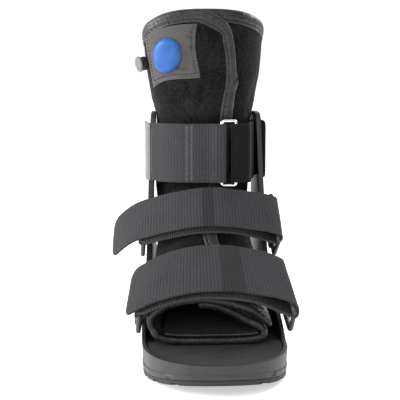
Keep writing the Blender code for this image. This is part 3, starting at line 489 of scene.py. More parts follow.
sole = {
    "front": 145 * mm,
    "back": 120 * mm,
    "ballWidth": 116 * mm,
    "heelWidth": 96 * mm,
    "toeArc": 80 * mm,
    "heelArc": 42 * mm,
    "toePower": 2.2,
    "heelPower": 2.3,
    "toeSpring": 9 * mm,
    "toeBend": 65 * mm,
    "heelLift": 4 * mm,
    "heelBend": 96 * mm,
    "archRise": 1.6 * mm,
    "archMiddle": 27 * mm,
    "archHalf": 20 * mm,
    "tread": 3.8 * mm,
    "treadInset": 0.8 * mm,
    "lugDepth": 1.8 * mm,
    "groove": 5 * mm,
    "grooveSlope": 0.8 * mm,
    "lugPitch": 20 * mm,
    "clear": 0.3 * mm,
    "footbedTop": 22 * mm,
}
ballY = sole["toeArc"] - sole["front"]
heelY = sole["back"] - sole["heelArc"]

shell = {
    "rim": 22.6 * mm,
    "rimSpring": 1.4 * mm,
    "wall": 3 * mm,
    "uprightWall": 4 * mm,
    "draft": 1.3 * mm,
    "height": 200.97 * mm,
    "uprightY": 56 * mm,
    "uprightWidth": 38 * mm,
    "bulge": 1.6 * mm,
    "flare": -2.0 * mm,
    "heelCup": 54 * mm,
    "slotY": 62 * mm,
    "slotWidth": 4.6 * mm,
    "slotMargin": 8 * mm,
}
Edge = namedtuple("Edge", "way height")
edgeFront = [
    Edge(0.00, 0.000), Edge(0.10, 0.030), Edge(0.27, 0.080), Edge(0.45, 0.125), Edge(0.62, 0.190),
    Edge(0.75, 0.275), Edge(0.87, 0.410), Edge(0.94, 0.590), Edge(0.985, 0.800), Edge(1.00, 0.965),
]
edgeBack = [Edge(0.00, 0.965), Edge(0.06, 0.780), Edge(0.18, 0.560), Edge(0.40, 0.340), Edge(0.62, 0.225)]
uprightFront = shell["uprightY"] - shell["uprightWidth"] / 2
uprightBack = shell["uprightY"] + shell["uprightWidth"] / 2


def outlineAt(column, inset=0.0):
    stretch, place = column
    if stretch == "toe":
        x = (sole["ballWidth"] / 2 - inset) * math.sin(place) ** (2 / sole["toePower"])
        return x, ballY - (sole["toeArc"] - inset) * max(math.cos(place), 0.0) ** (2 / sole["toePower"])
    if stretch == "side":
        way = (place - ballY) / (heelY - ballY)
        wide = sole["ballWidth"] + (sole["heelWidth"] - sole["ballWidth"]) * ease(way)
        return wide / 2 - inset, place
    x = (sole["heelWidth"] / 2 - inset) * math.sin(place) ** (2 / sole["heelPower"])
    return x, heelY + (sole["heelArc"] - inset) * max(math.cos(place), 0.0) ** (2 / sole["heelPower"])


def outlineColumns(sideYs):
    quarter, toeSteps, heelSteps = math.pi / 2, 26, 20
    columns = [("toe", quarter * i / toeSteps) for i in range(toeSteps)]
    columns += [("side", y) for y in sorted(sideYs)]
    return columns + [("heel", quarter * (1 - i / heelSteps)) for i in range(1, heelSteps + 1)]


def halfWidthAt(y, inset=0.0):
    if y < ballY:
        share = min((ballY - y) / (sole["toeArc"] - inset), 1.0)
        return (sole["ballWidth"] / 2 - inset) * (1 - share ** sole["toePower"]) ** (1 / sole["toePower"])
    if y > heelY:
        share = min((y - heelY) / (sole["heelArc"] - inset), 1.0)
        return (sole["heelWidth"] / 2 - inset) * (1 - share ** sole["heelPower"]) ** (1 / sole["heelPower"])
    return outlineAt(("side", y), inset)[0]


def soleBottom(y):
    toe = max(0.0, (-sole["toeBend"] - y) / (sole["front"] - sole["toeBend"]))
    heel = max(0.0, (y - sole["heelBend"]) / (sole["back"] - sole["heelBend"]))
    return sole["toeSpring"] * toe**2 + sole["heelLift"] * heel**2


def archAt(y):
    return sole["archRise"] * ease(1 - abs(y - sole["archMiddle"]) / sole["archHalf"])


def rimAt(y):
    toe = max(0.0, (-sole["toeBend"] - y) / (sole["front"] - sole["toeBend"]))
    return shell["rim"] + shell["rimSpring"] * toe**2


def shellTop(y):
    climb = shell["height"] - shell["rim"]
    if y <= -sole["toeBend"]:
        return rimAt(y)
    if y < uprightFront:
        way = (y + sole["toeBend"]) / (uprightFront + sole["toeBend"])
        return shell["rim"] + climb * follow(edgeFront, "height", way)
    if y <= uprightBack:
        across = abs(y - shell["uprightY"]) / (shell["uprightWidth"] / 2)
        corner = edgeFront[-1].height
        return shell["rim"] + climb * (corner + (1 - corner) * (1 - across**6))
    way = (y - uprightBack) / (sole["back"] - uprightBack)
    cup = Edge(1.0, (shell["heelCup"] - shell["rim"]) / climb)
    return shell["rim"] + climb * follow([*edgeBack, cup], "height", way)


def shellBulge(z):
    share = (z - shell["rim"]) / (shell["height"] - shell["rim"])
    if share <= 0:
        return -shell["draft"] * max(1 - z / shell["rim"], 0.0)
    share = min(share, 1.0)
    return shell["bulge"] * math.sin(math.pi * share**0.9) + shell["flare"] * share


def makeOutsole():
    # a rubber slab whose lugs stand between cross grooves
    keep = sole["groove"] / 2 + sole["grooveSlope"] * 2
    columns = outlineColumns([ballY + 3 * mm * k for k in range(48)])
    ys = [outlineAt(column, sole["treadInset"])[1] for column in columns]
    rows = [(y, 0.0) for y in ys]
    pitch = sole["lugPitch"]
    first = math.ceil((ys[0] + 3 * keep) / pitch - 0.5)
    last = math.floor((ys[-1] - 2 * keep) / pitch - 0.5)
    for k in range(first, last + 1):
        middle = (k + 0.5) * pitch
        rows = [row for row in rows if abs(row[0] - middle) > keep]
        for side in (-1, 1):
            rows.append((middle + side * (sole["groove"] / 2 + sole["grooveSlope"]), 0.0))
            rows.append((middle + side * sole["groove"] / 2, sole["lugDepth"]))
    rows.sort()
    shape = [
        (-1, 1), (-0.5, 1), (0, 1), (0.5, 1), (1, 1), (1, 0.55), (1, 0.2), (0.97, 0), (0.5, 0), (0, 0),
        (-0.5, 0), (-0.97, 0), (-1, 0.2), (-1, 0.55), (-1, 1),
    ]

    def place(i, j):
        y, cut = rows[i]
        across, level = shape[j]
        half = max(halfWidthAt(y, sole["treadInset"]), 1.5 * mm)
        low = soleBottom(y) + max(cut, archAt(y))
        top = soleBottom(y) + sole["tread"]
        return Vector((half * across, y, low + (top - low) * level))

    bm, _ = gridSheet(len(rows) - 1, len(shape) - 1, place)
    closeUp(bm)
    piece = addPiece("outsoleTread", bm, [rubber], replaces=["outsole"], sharp=30)
    softEdges(piece, 0.35 * mm)


def makeFootbed():
    columns = outlineColumns([ballY + 5 * mm * k for k in range(29)])
    inset = shell["wall"] + sole["clear"]
    shape = [
        (-1, 0.93), (-0.985, 0.99), (-0.95, 1), (-0.5, 1), (0, 1), (0.5, 1), (0.95, 1), (0.985, 0.99),
        (1, 0.93), (1, 0), (0, 0), (-1, 0), (-1, 0.93),
    ]

    def place(i, j):
        across, level = shape[j]
        y = outlineAt(columns[i])[1]
        low = soleBottom(y) + sole["tread"] + inset + sole["clear"]
        top = sole["footbedTop"] + rimAt(y) - shell["rim"]
        z = low + (top - low) * level
        half, atY = outlineAt(columns[i], inset - shellBulge(z))
        return Vector((max(half, 1.5 * mm) * across, atY, z))

    bm, _ = gridSheet(len(columns) - 1, len(shape) - 1, place)
    closeUp(bm)
    addPiece("footbedFoam", bm, [foam], replaces=["footbed"], sharp=50)


def topStrapZ():
    return shell["height"] - topStrap["width"] / 2 - shell["slotMargin"]


def makeShell():
    # the moulded tub and its two uprights, slots left open in the grid before it gets its wall
    slotLow = topStrapZ() - topStrap["width"] / 2 - 1.5 * mm
    slotHigh = topStrapZ() + topStrap["width"] / 2 + 1.5 * mm
    slotYs = [shell["slotY"] + shell["slotWidth"] * side / 2 for side in (-1, 1)]
    ys = [ballY + 3 * mm * k for k in range(25)]
    front = -sole["toeBend"]
    ys += [front + (uprightFront - front) * row.way for row in edgeFront[5:]]
    ys += [front + (uprightFront - front) * way for way in (0.81, 0.905, 0.965)]
    shares = (0.02, 0.06, 0.12, 0.2, 0.32, 0.46, 0.8, 0.88, 0.94, 0.98)
    ys += [uprightFront + shell["uprightWidth"] * share for share in shares]
    ys += slotYs + [uprightBack + (sole["back"] - uprightBack) * way for way in (0, 0.03, 0.06, 0.11, 0.18)]
    ys = sorted(y for y in ys if ballY <= y <= heelY)
    columns = outlineColumns(ys)
    order = [(column, 1) for column in columns] + [(column, -1) for column in reversed(columns)]
    floorRows, wallRows = 3, 40
    bead = {"height": 2.6 * mm, "size": 0.35 * mm, "half": 0.9 * mm}

    def levels(y, low):
        # most rows are spread evenly, two are set to the ends of the slot
        top = shellTop(y)
        zs = [low + (top - low) * (k / wallRows) for k in range(wallRows + 1)]
        zs[1], zs[2], zs[3] = low + 1.4 * mm, low + 2.6 * mm, low + 3.8 * mm
        if top > slotHigh + 1 * mm:
            lowRow = min(range(4, wallRows), key=lambda k: abs(zs[k] - slotLow))
            highRow = min(range(4, wallRows), key=lambda k: abs(zs[k] - slotHigh))
            zs[lowRow], zs[highRow] = slotLow, slotHigh
        return zs

    zsOf = {}

    def place(i, j):
        column, side = order[i]
        y = outlineAt(column)[1]
        low = soleBottom(y) + sole["tread"] + sole["clear"]
        if j < floorRows:
            x, atY = outlineAt(column, -shellBulge(low))
            return Vector((side * x * j / floorRows, atY, low))
        if column not in zsOf:
            zsOf[column] = levels(y, low)
        z = zsOf[column][j - floorRows]
        line = bead["size"] * math.exp(-(((z - low - bead["height"]) / bead["half"]) ** 2))
        x, atY = outlineAt(column, -shellBulge(z) - line)
        return Vector((side * x, atY, z))

    bm, _ = gridSheet(len(order) - 1, floorRows + wallRows, place)
    inSlot = []
    for face in bm.faces:
        middle = face.calc_center_median()
        if slotYs[0] < middle.y < slotYs[1] and slotLow < middle.z < slotHigh:
            inSlot.append(face)
    bmesh.ops.delete(bm, geom=inSlot, context="FACES")
    bmesh.ops.remove_doubles(bm, verts=bm.verts, dist=0.02 * mm)
    bmesh.ops.dissolve_degenerate(bm, edges=bm.edges, dist=0.01 * mm)
    bmesh.ops.recalc_face_normals(bm, faces=bm.faces)
    outward = max(bm.faces, key=lambda face: face.calc_center_median().z)
    if outward.normal.x * outward.calc_center_median().x < 0:
        bmesh.ops.reverse_faces(bm, faces=bm.faces)
    piece = addPiece("shellUprights", bm, [shellPlastic], replaces=["shell"], sharp=50)
    thick = piece.vertex_groups.new(name="thick")
    for vert in piece.data.vertices:
        thick.add([vert.index], ease((vert.co.z - shell["rim"]) / shell["heelCup"]), "REPLACE")
    wall = piece.modifiers.new("wall", "SOLIDIFY")
    wall.thickness = shell["uprightWall"]
    wall.offset = -1
    wall.vertex_group = "thick"
    wall.thickness_vertex_group = shell["wall"] / shell["uprightWall"]
    softEdges(piece, 0.7 * mm, 3, 50)


# liner: a padded sheet wrapped round the foot and leg

liner = {
    "front": 74 * mm,
    "back": 111 * mm,
    "width": 102 * mm,
    "collar": 290 * mm,
    "wall": 4 * mm,
    "bindingRise": 0.8 * mm,
    "tuckFrom": -262.0,
    "tuckTo": -352.0,
    "sagRight": 0.25,
    "sagPower": 4,
    "lapGap": 2.0 * mm,
    "rampStart": -100.0,
    "ramp": 45.0,
    "collarCorner": 17 * mm,
    "toeCorner": 5 * mm,
    "hug": 1.6 * mm,
    "hugFrom": 0.62,
    "hugTo": 0.9,
}
sectionFields = "at top_y top_z back_y back_z width left right low belly shift lean flap lap tuck sag"
Section = namedtuple("Section", sectionFields)
linerSections = [Section(*row) for row in (
    (0.00, 0.010, 0.147, 0.000, 0.000, 0.885, 1.8, 1.75, 4.0, 0.36, -0.04, -0.22, 96, 0, 5.5, 0),
    (0.07, 0.076, 0.180, 0.065, 0.000, 0.905, 1.85, 1.8, 4.2, 0.38, -0.03, -0.15, 72, 12, 2.5, 0),
    (0.16, 0.173, 0.231, 0.195, 0.000, 0.910, 2.0, 2.0, 4.2, 0.40, -0.02, -0.08, 34, 30, 0, 0),
    (0.25, 0.259, 0.279, 0.357, 0.000, 0.890, 2.1, 2.1, 4.0, 0.42, 0.00, 0.00, 8, 44, 0, 0),
    (0.34, 0.335, 0.339, 0.535, 0.000, 0.855, 2.1, 2.1, 4.0, 0.44, 0.00, 0.00, 5, 48, 0, 0),
    (0.43, 0.400, 0.393, 0.724, 0.000, 0.805, 2.1, 2.1, 3.6, 0.46, 0.00, 0.00, 8, 48, 0, 0),
    (0.51, 0.452, 0.436, 0.900, 0.014, 0.770, 2.1, 2.1, 3.0, 0.48, 0.00, 0.00, 13, 48, 0, 0),
    (0.58, 0.474, 0.484, 0.980, 0.096, 0.760, 2.1, 2.1, 2.5, 0.50, -0.01, 0.00, 19, 48, 0, 0),
    (0.66, 0.478, 0.551, 0.995, 0.234, 0.765, 2.1, 2.1, 2.3, 0.50, -0.02, 0.00, 26, 48, 0, 0),
    (0.74, 0.478, 0.633, 0.968, 0.410, 0.765, 2.1, 2.1, 2.2, 0.50, -0.015, 0.00, 27, 48, 0, 0),
    (0.82, 0.465, 0.723, 0.946, 0.574, 0.772, 2.1, 2.1, 2.2, 0.50, 0.00, 0.00, 29, 48, 0, 0),
    (0.86, 0.457, 0.776, 0.950, 0.650, 0.855, 2.1, 2.1, 2.2, 0.50, -0.01, 0.00, 29, 48, 0, 1),
    (0.91, 0.443, 0.843, 0.957, 0.742, 0.945, 2.2, 2.1, 2.2, 0.50, 0.00, 0.00, 26, 48, 0, 3),
    (0.97, 0.430, 0.950, 0.970, 0.852, 0.990, 2.6, 2.2, 2.2, 0.50, 0.00, 0.00, 19, 48, 0, 7),
    (1.00, 0.427, 1.000, 0.978, 0.896, 0.990, 2.6, 2.3, 2.2, 0.50, 0.00, 0.00, 8, 48, 0, 9),
)]
sectionCache = {}


def sectionAt(at):
    key = round(at, 6)
    if key not in sectionCache:
        sectionCache[key] = Section(at, *(follow(linerSections, name, at) for name in Section._fields[1:]))
    return sectionCache[key]


def linerY(share):
    return -liner["front"] + (liner["front"] + liner["back"]) * share


def linerZ(share):
    base = sole["footbedTop"] + sole["clear"] + liner["bindingRise"]
    return base + (liner["collar"] - base) * share


def linerTop(at):
    row = sectionAt(at)
    return Vector((0, linerY(row.top_y), linerZ(row.top_z)))


def linerBack(at):
    row = sectionAt(at)
    return Vector((0, linerY(row.back_y), linerZ(max(row.back_z, 0.0))))


def lapRise(angle):
    return (liner["wall"] + liner["lapGap"]) * ease((angle - liner["rampStart"]) / liner["ramp"])


spineCache = {}


def spineAt(at):
    # what one section needs, worked out once
    key = round(at, 6)
    if key not in spineCache:
        top, back, row = linerTop(at), linerBack(at), sectionAt(at)
        rise = (top - back).normalized()
        ahead = (linerTop(at + 0.02) - linerTop(at - 0.02)).normalized()
        square = abs(rise.cross(ahead).x)
        depth = (top - back).length - (liner["wall"] + liner["lapGap"]) / square
        spineCache[key] = (back, rise, depth, row)
    return spineCache[key]


def linerBase(at, angle):
    back, rise, depth, row = spineAt(min(max(at, 0.0), 1.0))
    belly = row.belly * depth
    half = liner["width"] / 2 * row.width
    c, s = math.cos(math.radians(angle)), math.sin(math.radians(angle))
    power = row.low if c < 0 else (row.right if s > 0 else row.left)
    r = (abs(c) ** power + abs(s) ** power) ** (-1 / power)
    height = belly + (depth - belly if c > 0 else belly) * c * r
    side = half * (s * r + row.shift + row.lean * height / depth)
    sag = max(row.sag, 0.0) * mm * abs(s * r) ** liner["sagPower"] * (liner["sagRight"] if s > 0 else 1.0)
    return back + rise * height + Vector((side, 0, -sag))


def linerNormal(at, angle):
    step = 0.004
    along = linerBase(min(at + step, 1), angle) - linerBase(max(at - step, 0), angle)
    roundIt = linerBase(at, angle + 1) - linerBase(at, angle - 1)
    return roundIt.cross(along).normalized()


# creases, each from one spot (at, angle) to another, in mm: how wide and how deep (less than 0 is a ridge)
Crease = namedtuple("Crease", "at0 angle0 at1 angle1 wide deep")
creases = [Crease(*row) for row in (
    (0.94, -1, 0.865, -3, 1.5, 2.0),
    (0.865, -3, 0.80, -9, 1.5, 2.0),
    (0.945, 2, 0.938, 18, 2.0, 1.7),
    (0.62, -55, 0.60, -10, 3.5, 1.1),
    (0.655, -58, 0.64, -16, 3.0, -0.7),
    (0.585, -70, 0.57, -30, 3.0, 0.8),
    (0.62, 62, 0.60, 38, 3.5, 1.0),
    (0.66, 60, 0.64, 34, 3.0, -0.6),
    (0.56, -150, 0.57, -210, 4.0, 1.4),
    (0.60, -148, 0.61, -212, 3.5, -0.9),
    (0.64, -150, 0.645, -208, 4.0, 1.3),
    (0.72, -155, 0.715, -200, 5.0, 0.9),
    (0.50, -100, 0.60, -128, 4.0, 0.9),
    (0.50, -258, 0.60, -232, 4.0, 0.9),
    (0.845, -95, 0.83, -60, 4.5, 0.8),
    (0.80, -270, 0.82, -300, 4.0, 0.8),
    (0.90, -285, 0.84, -296, 3.5, 0.7),
    (0.88, -170, 0.86, -205, 6.0, 0.9),
)]


def creaseDrop(at, angle):
    if not 0.45 < at < 0.97:
        return 0.0
    mmPerAt, mmPerTurn = 345.0, 0.82
    drop = 0.0
    for row in creases:
        ax, ay = row.at0 * mmPerAt, row.angle0 * mmPerTurn
        bx, by = row.at1 * mmPerAt - ax, row.angle1 * mmPerTurn - ay
        px, py = at * mmPerAt - ax, angle * mmPerTurn - ay
        along = (px * bx + py * by) / (bx * bx + by * by)
        if not -0.2 < along < 1.2:
            continue
        away = abs(px * by - py * bx) / math.hypot(bx, by)
        if away > 3.2 * row.wide:
            continue
        end = ease((along + 0.2) / 0.35) * ease((1.2 - along) / 0.35)
        drop += row.deep * mm * end * math.exp(-((away / row.wide) ** 2))
    return drop


def innerDip(at, angle):
    # the inner flap dips behind the outer one on the right of the toe opening
    way = (angle - liner["tuckFrom"]) / (liner["tuckTo"] - liner["tuckFrom"])
    return max(sectionAt(at).tuck, 0.0) * mm * ease(2 * way) * ease(2 - 2 * way)


def innerEnd(at):
    return -360 - max(sectionAt(at).lap, 0.0)


def linerSpot(at, angle, out=0.0):
    soft = noise.noise(Vector((at * 9, angle * 0.035, 3.1))) * 0.5 * mm * ease((at - 0.5) / 0.1)
    at = min(max(at, 0.0), 1.0)
    # its sides are pressed against the uprights
    hug = liner["hug"] * abs(math.sin(math.radians(angle))) ** 3
    hug *= ease((at - liner["hugFrom"]) / 0.06) * ease((liner["hugTo"] - at) / 0.06)
    lift = lapRise(angle) - innerDip(at, angle) + out - creaseDrop(at, angle) + soft + hug
    return linerBase(at, angle) + linerNormal(at, angle) * lift


def perAt(at, angle):
    step = 0.004
    a, b = max(at - step, 0), min(at + step, 1)
    return (linerBase(b, angle) - linerBase(a, angle)).length / (b - a)


def perTurn(at, angle):
    return (linerBase(at, angle + 1) - linerBase(at, angle - 1)).length / 2


def roundCorner(at, angle):
    # pulls the sheet's outer corners in, so that the collar turns into the free edge on an arc
    flap = sectionAt(at).flap
    for end, radius in ((1, liner["collarCorner"]), (0, liner["toeCorner"])):
        a = abs(end - at) * perAt(end, flap)
        b = (flap - angle) * perTurn(at, flap)
        if a < radius and b < radius:
            x, y = radius - a, radius - b
            long = math.hypot(x, y)
            if long > 0:
                share = max(x, y) / long
                a, b = radius - x * share, radius - y * share
                at = 1 - a / perAt(end, flap) if end else a / perAt(end, flap)
                angle = sectionAt(at).flap - b / perTurn(at, flap)
    return at, angle


def makeLinerWall():
    rows, columns = 150, 190
    spotsOf = {}

    def place(i, j):
        at = j / rows
        flap = sectionAt(at).flap
        angle = innerEnd(at) + (flap - innerEnd(at)) * i / columns
        at, angle = roundCorner(at, angle)
        spotsOf[(i, j)] = (at, angle)
        return linerSpot(at, angle)

    bm, spots = gridSheet(columns, rows, place, lambda i, j: (i * 0.0022, j * 0.0023))
    atLayer = bm.verts.layers.float["at"]
    turnLayer = bm.verts.layers.float["turn"]
    for vert, key in spots.items():
        vert[atLayer], vert[turnLayer] = spotsOf[key]
    grown = bmesh.ops.extrude_face_region(bm, geom=bm.faces[:])
    for item in grown["geom"]:
        if isinstance(item, bmesh.types.BMVert):
            item.co = linerSpot(item[atLayer], item[turnLayer], -liner["wall"])
        elif isinstance(item, bmesh.types.BMFace):
            item.material_index = 1
    bmesh.ops.recalc_face_normals(bm, faces=bm.faces)
    piece = addPiece("linerWall", bm, [fleece, lining], replaces=["liner"], sharp=60)


# binding: vinyl folded round every edge of the liner and sewn down

binding = {
    "profile": [
        (7.9, -0.6), (7.9, 0.3), (7.5, 0.8), (6.6, 1.0), (5.9, 0.1), (5.2, 1.0), (4.2, 1.5), (3.2, 1.1),
        (2.2, 1.5), (0.9, 1.15), (-0.3, 0.4), (-0.9, -0.9), (-0.9, -3.0), (-0.2, -4.1), (1.6, -4.5),
        (5.0, -4.5), (7.8, -4.3), (8.6, -3.4),
    ],
    "gap": 2.4 * mm,
    "stitchRows": ((5.9, 0.6), (3.2, 1.3)),
    "knotAt": 0.87,
    "knot": 0.016,
    "knotPull": 1.6,
    "knotRise": 1.7,
    "grooveAside": 0.008,
    "groove": 0.0035,
    "grooveLean": 0.0028,
    "grooveDepth": 1.5,
    "collarWider": 0.28,
    "flapWider": 0.22,
    "puffs": ((70, 0.45), (190, 0.3)),
    "stitch": 2.4 * mm,
    "pitch": 3.0 * mm,
    "thread": 0.9 * mm,
}


def edgeLoop():
    # the liner's whole edge as (at, angle), from the toe up the free flap, round the collar and back
    path = []
    collarR, toeR = liner["collarCorner"], liner["toeCorner"]

    def arc(end, radius, turns):
        for t in turns:
            a = radius * (1 - math.sin(t))
            b = radius * (1 - math.cos(t))
            flap = sectionAt(end).flap
            at = abs(end - a / perAt(end, flap))
            path.append((at, sectionAt(at).flap - b / perTurn(at, sectionAt(at).flap)))

    steps = 130
    quarter = [math.pi / 2 * k / 8 for k in range(9)]
    startAt = toeR / perAt(0, sectionAt(0).flap)
    endAt = 1 - collarR / perAt(1, sectionAt(1).flap)
    arc(0, toeR, reversed(quarter))
    for k in range(1, steps):
        at = startAt + (endAt - startAt) * k / steps
        path.append((at, sectionAt(at).flap))
    arc(1, collarR, quarter)
    first = path[-1][1]
    turns = 190
    for k in range(1, turns + 1):
        path.append((1.0, first + (innerEnd(1) - first) * k / turns))
    for k in range(1, steps + 1):
        path.append((1 - k / steps, innerEnd(1 - k / steps)))
    last = path[0][1]
    for k in range(1, turns):
        path.append((0.0, innerEnd(0) + (last - innerEnd(0)) * k / turns))
    return path


def edgeFrames(path):
    # for each spot on the edge: its place, the way along it and the way in over the sheet
    count = len(path)
    places = [linerSpot(at, angle) for at, angle in path]
    frames = []
    for k, (at, angle) in enumerate(path):
        along = (places[(k + 1) % count] - places[k - 1]).normalized()
        normal = linerNormal(at, angle)
        inward = normal.cross(along).normalized()
        frames.append((at, angle, places[k], along, inward, normal))
    return frames


def overSheet(frame, inwards, out):
    # a spot at a distance in from the edge, on the sheet, or straight out past it
    at, angle, _, _, inward, _ = frame
    if inwards < 0:
        return linerSpot(at, angle, out) + inward * inwards
    stepA, stepT = 0.004, 1.0
    a0, a1 = max(at - stepA, 0), min(at + stepA, 1)
    byAt = (linerBase(a1, angle) - linerBase(a0, angle)) / (a1 - a0)
    byTurn = (linerBase(at, angle + stepT) - linerBase(at, angle - stepT)) / (2 * stepT)
    aa, tt, cross = byAt.dot(byAt), byTurn.dot(byTurn), byAt.dot(byTurn)
    ra, rt = byAt.dot(inward) * inwards, byTurn.dot(inward) * inwards
    det = aa * tt - cross * cross
    return linerSpot(at + (ra * tt - rt * cross) / det, angle + (rt * aa - ra * cross) / det, out)


def makeBinding():
    path = edgeLoop()
    frames = edgeFrames(path)
    collar = max((angle, k) for k, (at, angle) in enumerate(path) if at == 1.0 and angle < -90)[1]
    if frames[collar][4].z > 0:
        frames = [(*frame[:4], -frame[4], frame[5]) for frame in frames]
    profile = binding["profile"]
    count, ring = len(frames), len(profile)

    def lay(frame, inwards, out):
        at, angle = frame[:2]
        inwards *= 1 + binding["collarWider"] * ease((at - 0.96) / 0.03)
        if angle > 0 and at < 0.97:
            # wider towards the strap, with a knotted fold at the middle of the flap's edge
            inwards *= 1 + binding["flapWider"] * ease((0.89 - at) / 0.09)
            away = at - binding["knotAt"]
            knot = math.exp(-((away / binding["knot"]) ** 2))
            away += inwards * binding["grooveLean"] - binding["grooveAside"]
            groove = math.exp(-((away / binding["groove"]) ** 2))
            inwards -= binding["knotPull"] * knot * ease(1 - inwards / 9)
            out += binding["knotRise"] * knot - binding["grooveDepth"] * groove * (out > 0.5)
        if out > 0.3:
            out += sum(noise.noise(frame[2] * fine) * high for fine, high in binding["puffs"])
        return overSheet(frame, inwards * mm, out * mm)

    def place(i, j):
        return lay(frames[i % count], *profile[j % ring])

    lengths = [0.0]
    for k in range(count):
        lengths.append(lengths[-1] + (frames[(k + 1) % count][2] - frames[k][2]).length)
    bm, _ = gridSheet(count, ring, place, lambda i, j: (lengths[i], j * 0.0015))
    closeUp(bm, caps=False)
    addPiece("linerBinding", bm, [vinyl])

    threads = bmesh.new()
    distance = 0.0
    for k in range(count):
        distance += (frames[k][2] - frames[k - 1][2]).length
        if distance > binding["pitch"]:
            distance = 0.0
            _, _, _, along, _, normal = frames[k]
            for row in binding["stitchRows"]:
                spot = lay(frames[k], *row)
                addStitch(threads, spot, along, normal, binding["stitch"], binding["thread"])
    addPiece("bindingStitches", threads, [blackThread])


panelSeam = {"pitch": 2.6 * mm, "stitch": 2.3 * mm, "thread": 0.9 * mm}

def makePanelSeam():
    # the sewn seam that runs down the front, left of the flap's edge
    threads = bmesh.new()
    ends = [(0.945, -0.5), (0.865, -3.0), (0.79, -9.6)]
    for (at0, angle0), (at1, angle1) in zip(ends, ends[1:]):
        along = linerSpot(at1, angle1) - linerSpot(at0, angle0)
        count = round(along.length / panelSeam["pitch"])
        for k in range(count):
            t = (k + 0.5) / count
            at, angle = at0 + (at1 - at0) * t, angle0 + (angle1 - angle0) * t
            spot, normal = linerSpot(at, angle, 0.1 * mm), linerNormal(at, angle)
            addStitch(threads, spot, along, normal, panelSeam["stitch"], panelSeam["thread"])
    addPiece("panelSeam", threads, [blackThread])


# insole

insole = {
    "front": 0.006,
    "back": 0.5,
    "spread": 46.5,
    "thick": 2.6 * mm,
    "rim": 2.2 * mm,
    "fall": 1.2 * mm,
    "step": (3 * mm, 3.6 * mm),
    "roll": 1.25 * mm,
}


def makeInsole():
    low = liner["wall"] + sole["clear"] * 3
    front, back, thick = insole["front"], insole["back"], insole["thick"]
    rows, columns = 46, 18

    def place(i, j):
        at = front + (back - front) * j / rows
        half = insole["spread"] * max(1 - (at / back) ** 5, 0.02) ** 0.5
        angle = -180 + half * (2 * i / columns - 1)
        edge = min(min(i, columns - i) * insole["step"][0], j * insole["step"][1])
        fall = (1 - ease(edge / insole["rim"])) * insole["fall"]
        return linerSpot(at, angle, -low) + up * (thick - fall)

    bm, _ = gridSheet(columns, rows, place, lambda i, j: (i * 0.003, j * 0.0036))
    grown = bmesh.ops.extrude_face_region(bm, geom=bm.faces[:])
    lower = [item for item in grown["geom"] if isinstance(item, bmesh.types.BMVert)]
    bmesh.ops.translate(bm, verts=lower, vec=-up * (thick - 1.3 * mm))
    bmesh.ops.recalc_face_normals(bm, faces=bm.faces)
    addPiece("insolePad", bm, [lining], replaces=["insole"], sharp=60)
    # the bound roll along its front edge
    roll = [place(i * columns / 24, 0.35) - up * 0.5 * mm for i in range(25)]
    addPiece("insoleRoll", tube(roll, insole["roll"], 10), [vinyl])


# straps

topStrap = {"width": 50 * mm, "thick": 2 * mm, "layerGap": 0.6 * mm}
webStrap = {"thick": 2 * mm, "layerGap": 0.6 * mm, "barClear": 0.6 * mm}
ring = {"bar": 4 * mm, "corner": 3.2 * mm, "clear": 1.5 * mm}
link = {"width": 20 * mm, "thick": 2 * mm, "reach": 18 * mm}
metalRing = {"wire": 3 * mm, "span": 12 * mm, "corner": 2.2 * mm, "x": 17.5 * mm}
footStraps = [
    {
        "name": "low", "at": 0.105, "width": 50 * mm, "ringX": 58 * mm, "drop": 11 * mm, "slide": 10 * mm,
        "splay": 0.14, "arch": 2.1, "ridge": 4 * mm, "lift": 0.9 * mm, "tail": 10 * mm, "tailDrop": 0.3,
        "bar": (57.8 * mm, -50 * mm, 46.1 * mm), "crest": (7 * mm, 24 * mm),
        "underFront": 5.0 * mm, "underRight": 3.5 * mm,
    },
    {
        "name": "mid", "at": 0.385, "width": 38 * mm, "ringX": 55.9 * mm, "drop": 17 * mm, "slide": 2 * mm,
        "splay": 0.06, "arch": 1.45, "ridge": 3 * mm, "lift": 0.5 * mm, "tail": 26 * mm, "tailDrop": 0.75,
        "bar": (55.2 * mm, 14 * mm, 96 * mm), "crest": (-5 * mm, 5 * mm),
        "underFront": 5.0 * mm, "underRight": 0.0,
    },
]


def strapFrame(strap):
    step = 0.02
    middle = linerTop(strap["at"])
    across = (linerTop(strap["at"] - step) - linerTop(strap["at"] + step)).normalized()
    normal = Vector((1, 0, 0)).cross(across).normalized()
    return middle, across, normal if normal.z > 0 else -normal


def strapPlace(strap, u, layer):
    middle, across, normal = strapFrame(strap)
    thick, gap = webStrap["thick"], webStrap["layerGap"]
    stack = strap["lift"] + liner["bindingRise"] + gap + thick / 2 + layer * (thick + gap)
    ridge = strap["ridge"] / strap["ringX"]
    reach = abs(u - ridge) / (1 + abs(ridge))
    soft = (reach**2 + 0.02) ** 0.5 - 0.02**0.5
    fall = strap["drop"] * soft ** strap["arch"] / (1.02**0.5 - 0.02**0.5) ** strap["arch"]
    place = middle + normal * (stack - fall) + across * strap["slide"] * u * u
    return place + Vector((strap["ringX"] * u, 0, 0))


def strapAcross(strap, u):
    _, across, _ = strapFrame(strap)
    return (across + Vector((strap["splay"] * u, 0, 0))).normalized()


def ringAxis(strap, side):
    one, two = strapPlace(strap, side * 0.94, 0), strapPlace(strap, side, 0)
    across = strapAcross(strap, side)
    out = (two - one).normalized()
    over = out.cross(across) * side
    over = over if over.z > 0 else -over
    turn = ring["bar"] / 2 + webStrap["barClear"] + webStrap["thick"] / 2
    bar = two - over * turn if side < 0 else two + over * (turn - webStrap["thick"])
    return bar, across, out, over.normalized()


